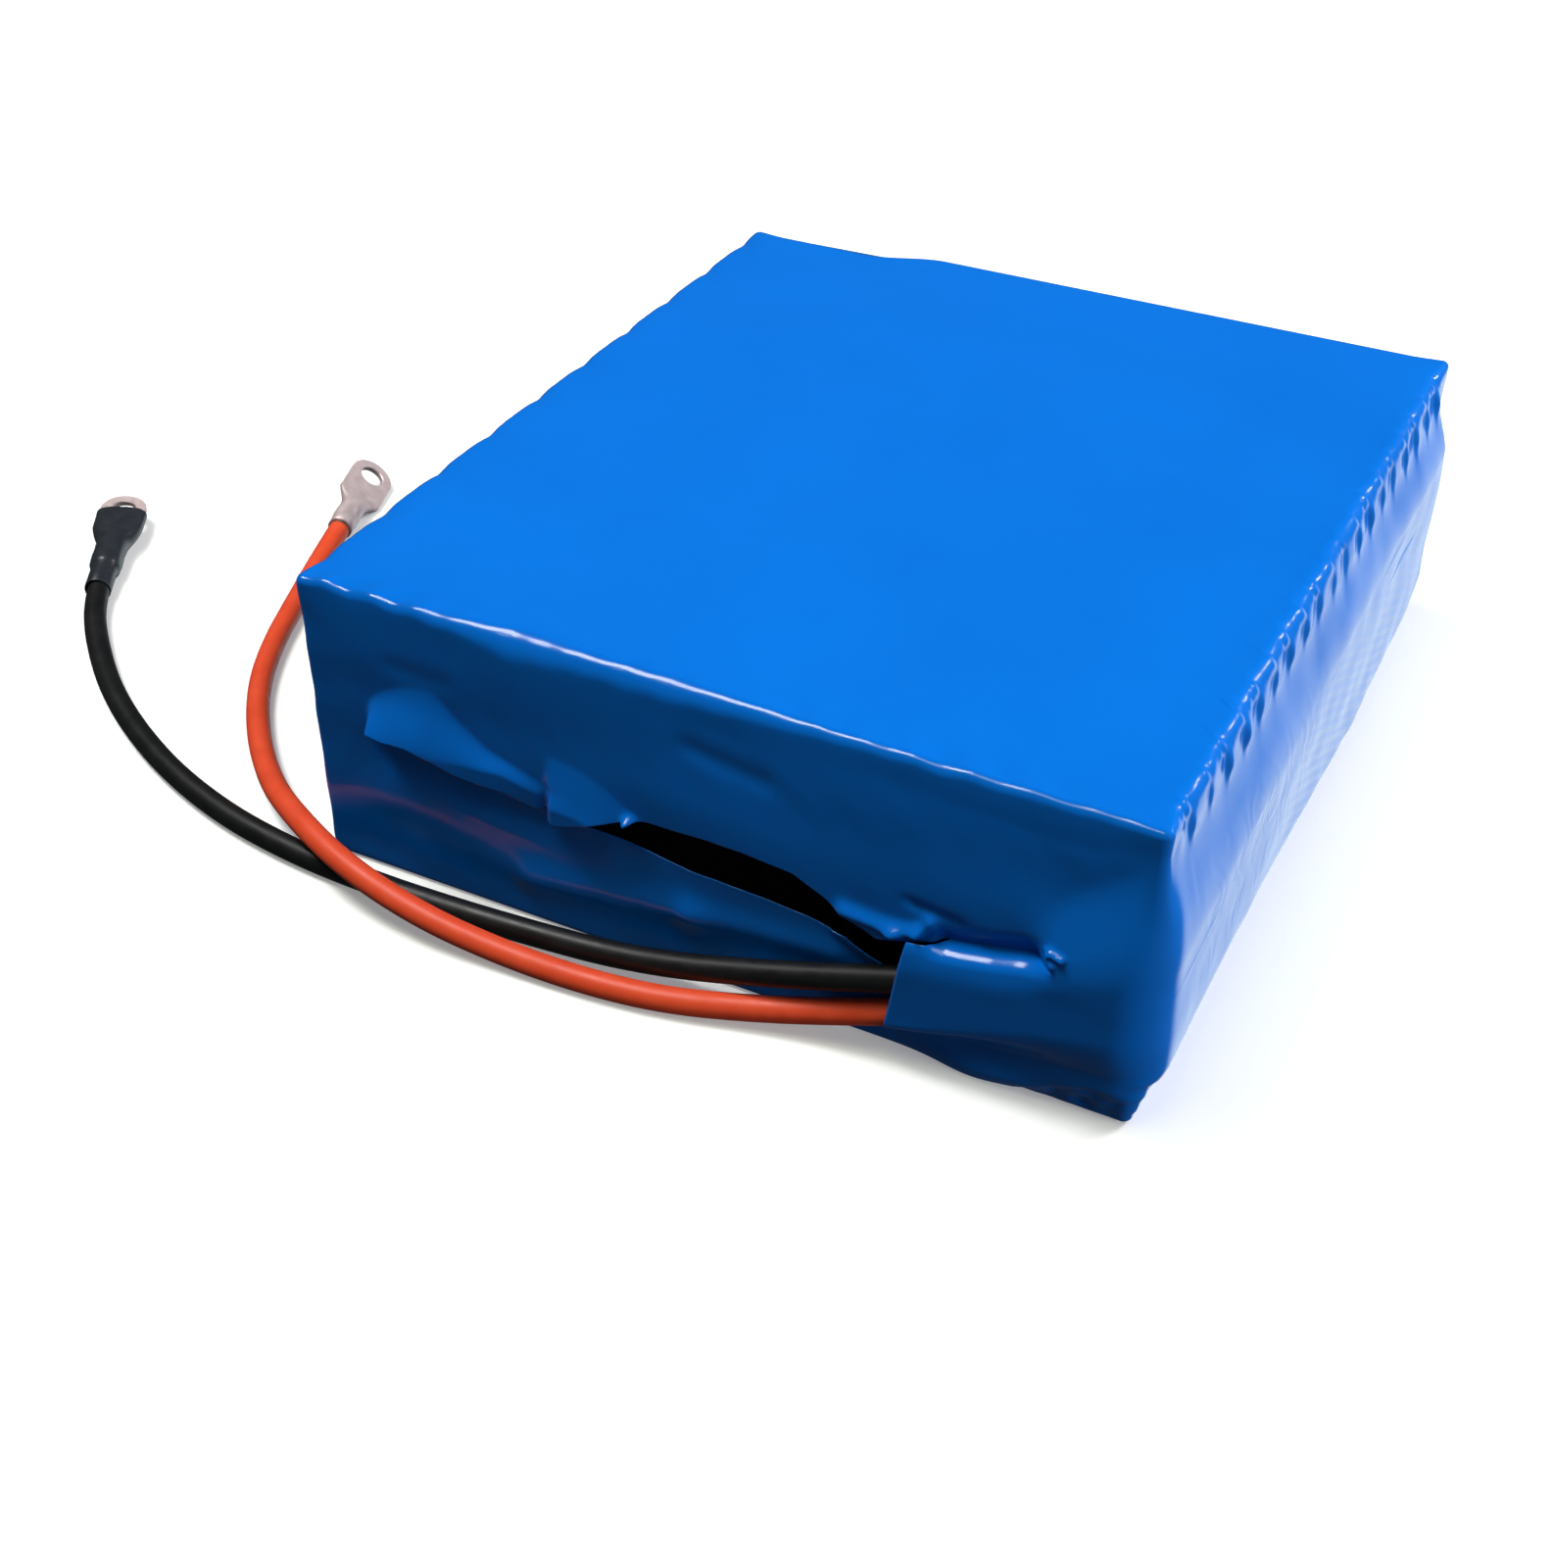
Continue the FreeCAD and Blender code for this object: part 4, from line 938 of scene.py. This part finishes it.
def film_points():
    """Every point as columns by rows by x, y, z, the split's row, and how far each stands out."""
    loop = plan_loop()
    inset, z, shrink, split = film_rows(loop)
    out = stand_out(loop, inset, z, shrink, split)
    px, py = moved_out(loop, inset, out, shrink)
    rounded_corner(px, py, z, loop)
    ux, front = loop.ux[COLUMN], loop.weights[0][COLUMN]

    # the sleeve's slanting mouth
    slant = 0.147 * (z - 19) * np.exp(-(((px - SLEEVE_MOUTH) / 7) ** 2)) * smooth(3, 8, z) * front
    below = np.arange(len(shrink))[None, :] < split
    px = px + slant * np.where(below, 1, smooth(40, 34, z))
    # the film sags between the cells at the top edge
    sag = (0.10 * loop.weights[1] + 0.30 * loop.weights[3]) * (1 - crest(loop.uy))
    z = z - sag[COLUMN] * smooth(HEIGHT - 6, HEIGHT - 1, z) * near_ends(shrink, 0.035)
    # the front's top edge is wavy at its two ends
    ends = front * smooth(2, 7, ux) * smooth(181, 174, ux)
    ends = ends * (1 - smooth(32, 46, ux) * smooth(118, 100, ux))
    wave = (0.30 - 0.16 * smooth(24, 40, ux)) * ripples(72, ux, 0 * ux, 9) - 0.12
    z = z + ends * wave * smooth(HEIGHT - 5, HEIGHT - 0.5, z) * near_ends(shrink, 0.05)
    # the top is not quite flat
    z = z + 0.10 * ripples(61, px, py, 45) * (z > HEIGHT - 0.2) * smooth(0, 0.03, shrink)[None, :]
    return np.stack([px, py, z], axis=2), split, out


def open_faces(points, split, out):
    """The faces to leave out: the gap between the two sheets and the sleeve's mouth."""
    x, y = points[:, :-1, 0], points[:, :-1, 1]
    drop = np.linalg.norm(points[:, split] - points[:, split - 1], axis=1)
    gap = np.zeros(x.shape, bool)
    drop = np.maximum(drop, np.roll(drop, -1))
    gap[:, split - 1] = (drop > 0.5) & (x[:, split - 1] <= CLOSED_FROM)
    step = np.abs(np.roll(out, -1, axis=0) - out)[:, :-1] > 0.8
    mouth = step & (np.abs(np.roll(x, -1, axis=0) - x) < 0.2) & (x > 130) & (x < 141)
    return (gap | mouth) & (y < 1.0)


def add_rim(build):
    """Turns the film's open edges inwards by its thickness."""
    rim = [edge for edge in build.edges if edge.is_boundary]
    build.normal_update()
    normals = {vert: vert.normal.copy() for edge in rim for vert in edge.verts}
    grown = bmesh.ops.extrude_edge_only(build, edges=rim)["geom"]
    for vert in (item for item in grown if isinstance(item, bmesh.types.BMVert)):
        nearest = min(
            (edge.other_vert(vert) for edge in vert.link_edges if edge.other_vert(vert) in normals),
            key=lambda other: (other.co - vert.co).length,
        )
        vert.co -= normals[nearest] * FILM_THICKNESS * MM


def film_mesh():
    points, split, out = film_points()
    columns, rows = points.shape[:2]
    place = np.array(CORNER) + points * MM
    here = np.arange(columns * rows).reshape(columns, rows)
    beside = np.roll(here, -1, axis=0)
    quads = np.stack([here[:, :-1], beside[:, :-1], beside[:, 1:], here[:, 1:]], axis=2)
    quads = quads[~open_faces(points, split, out)]
    # each end closes with a fan to its middle
    middles = place[:, [0, -1]].mean(axis=0)
    underside, top = np.full(columns, columns * rows), np.full(columns, columns * rows + 1)
    fans = np.stack([beside[:, 0], here[:, 0], underside, here[:, -1], beside[:, -1], top], axis=1)
    sheet = bpy.data.meshes.new("film_sheet")
    corners = np.concatenate([place.reshape(-1, 3), middles]).tolist()
    sheet.from_pydata(corners, [], quads.tolist() + fans.reshape(-1, 3).tolist())
    build = bmesh.new()
    build.from_mesh(sheet)
    bmesh.ops.remove_doubles(build, verts=build.verts, dist=2e-5)
    bmesh.ops.dissolve_degenerate(build, dist=1e-6, edges=build.edges)
    add_rim(build)
    return built_mesh("film_skin", build)


new_piece("film_skin", film_mesh(), "shrink_film", "shrink_wrap")


def board_mesh(name, low, high):
    """An insulation board whose sides follow the cells, inside the film."""
    loop = plan_loop()
    beside_front = (loop.first == 0) | (loop.second == 0)
    on_sides = loop.weights[1] + loop.weights[3]
    inset = np.where(beside_front, 5.6, 3.6) + 1.2 * on_sides * (1 - crest(loop.uy))
    outline = np.stack([loop.x - inset * loop.nx, loop.y - inset * loop.ny], axis=1) * MM
    build = bmesh.new()
    rings = []
    for height in (low, high):
        rings.append([build.verts.new((CORNER.x + x, CORNER.y + y, height)) for x, y in outline])
    build.faces.new(reversed(rings[0]))
    build.faces.new(rings[1])
    bridge(build, rings)
    return built_mesh(name, build, smooth=False)


for level in ("top", "bottom"):
    node, name = f"{level}_insulation_board", f"{level}_board_sheet"
    low, high = (corner[2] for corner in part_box(node))
    new_piece(name, board_mesh(name, low, high), "insulation_board", node)

# CAD pieces that stay ----------

for node, slot in SLOTS.items():
    thing = frame["nodes"][node]
    for material_slot in thing.material_slots:
        material_slot.material = MATERIALS[slot]

# Floor and lights --------------

FLOOR_HALF, WALL_HEIGHT = 4.0, 5.0  # in metres


def stage_piece(name, corners, faces, material):
    """A part of the studio. Bounce light and reflections don't see it, to keep the front deep."""
    mesh = bpy.data.meshes.new(name)
    mesh.from_pydata(corners, [], faces)
    mesh.materials.append(material)
    piece = bpy.data.objects.new(name, mesh)
    bpy.context.scene.collection.objects.link(piece)
    piece.visible_diffuse = piece.visible_glossy = False
    return piece


def make_floor():
    """A white floor, which glows more away from the lights, inside white walls."""
    white = Surface("floor", Roughness=0.9, Specular_IOR_Level=0.1, Emission_Color=(1, 1, 1, 1))
    white.colour(white.noise(3, 2), (0.86,) * 3, (0.88,) * 3)
    away = white.node("VectorMath", Vector=white.place)
    away.operation = "LENGTH"
    levels = {"From_Min": 1.0, "From_Max": 3.0, "To_Min": 0.25, "To_Max": 1.0}
    glow = white.node("MapRange", Value=away.outputs["Value"], **levels)
    white.link(glow.outputs["Result"], white.shader.inputs["Emission Strength"])
    low = [(x * FLOOR_HALF, y * FLOOR_HALF, 0.0) for x, y in ((-1, -1), (1, -1), (1, 1), (-1, 1))]
    high = [(x, y, WALL_HEIGHT) for x, y, _ in low]
    walls = [(i, (i + 1) % 4, (i + 1) % 4 + 4, i + 4) for i in range(4)]
    stage_piece("floor", low, [(0, 1, 2, 3)], white.material)
    stage_piece("backdrop", low + high, walls, white.material).visible_shadow = False


def make_light(name, direction, distance, size, power, colour=(1, 1, 1)):
    """A soft square light that looks at the pack's middle."""
    data = bpy.data.lights.new(name, "AREA")
    data.shape, data.size, data.size_y = "RECTANGLE", size[0], size[1]
    data.energy, data.color = power, colour
    light = bpy.data.objects.new(name, data)
    heading = Vector(direction).normalized()
    light.location = heading * distance
    light.rotation_mode = "QUATERNION"
    light.rotation_quaternion = heading.to_track_quat("Z", "Y")
    bpy.context.scene.collection.objects.link(light)
    return light


make_floor()
make_light("ceiling_light", (-0.41, -0.10, 0.90), 1.8, (0.5, 0.6), 22)
window = (0.56, 0.72, 0.50)
make_light("window_light", window, 2.0, (0.8, 0.6), 36).visible_glossy = False
make_light("edge_light", window, 1.9, (0.21, 0.15), 3)  # what the glossy film mirrors of it
make_light("fill_light", (-0.1, -0.30, 0.95), 2.2, (1.0, 0.7), 13, (0.95, 1.0, 0.78))
make_light("side_light", (0.98, -0.05, 0.20), 2.0, (0.9, 0.7), 19).visible_glossy = False


# The world's bright parts: middle, the cosines from it where they end and are full, and strength
LOBES = (((0.16, 0.85, -0.50), 0.85, 0.97, 1.15), ((0.93, 0.15, 0.32), 0.25, 0.90, 0.15))
ROOM_STRENGTH = 0.027


def make_world():
    """A dark room that is bright to the right and, lower, towards the back."""
    world = bpy.data.worlds.new("studio")
    world.use_nodes = True
    nodes, links = world.node_tree.nodes, world.node_tree.links
    direction = nodes.new("ShaderNodeTexCoord").outputs["Generated"]
    total = nodes.new("ShaderNodeMath")
    for i, (centre, start, end, peak) in enumerate(LOBES):
        dot = nodes.new("ShaderNodeVectorMath")
        dot.operation = "DOT_PRODUCT"
        dot.inputs[1].default_value = Vector(centre).normalized()
        links.new(direction, dot.inputs[0])
        ramp = nodes.new("ShaderNodeMapRange")
        ramp.interpolation_type = "SMOOTHSTEP"
        levels = {"From Min": start, "From Max": end, "To Min": ROOM_STRENGTH, "To Max": peak}
        for socket, number in levels.items():
            ramp.inputs[socket].default_value = number
        links.new(dot.outputs["Value"], ramp.inputs["Value"])
        links.new(ramp.outputs["Result"], total.inputs[i])
    links.new(total.outputs[0], nodes["Background"].inputs["Strength"])
    nodes["Background"].inputs["Color"].default_value = (0.86, 0.97, 1.0, 1)
    bpy.context.scene.world = world


make_world()
bpy.context.scene.view_settings.view_transform = "Standard"
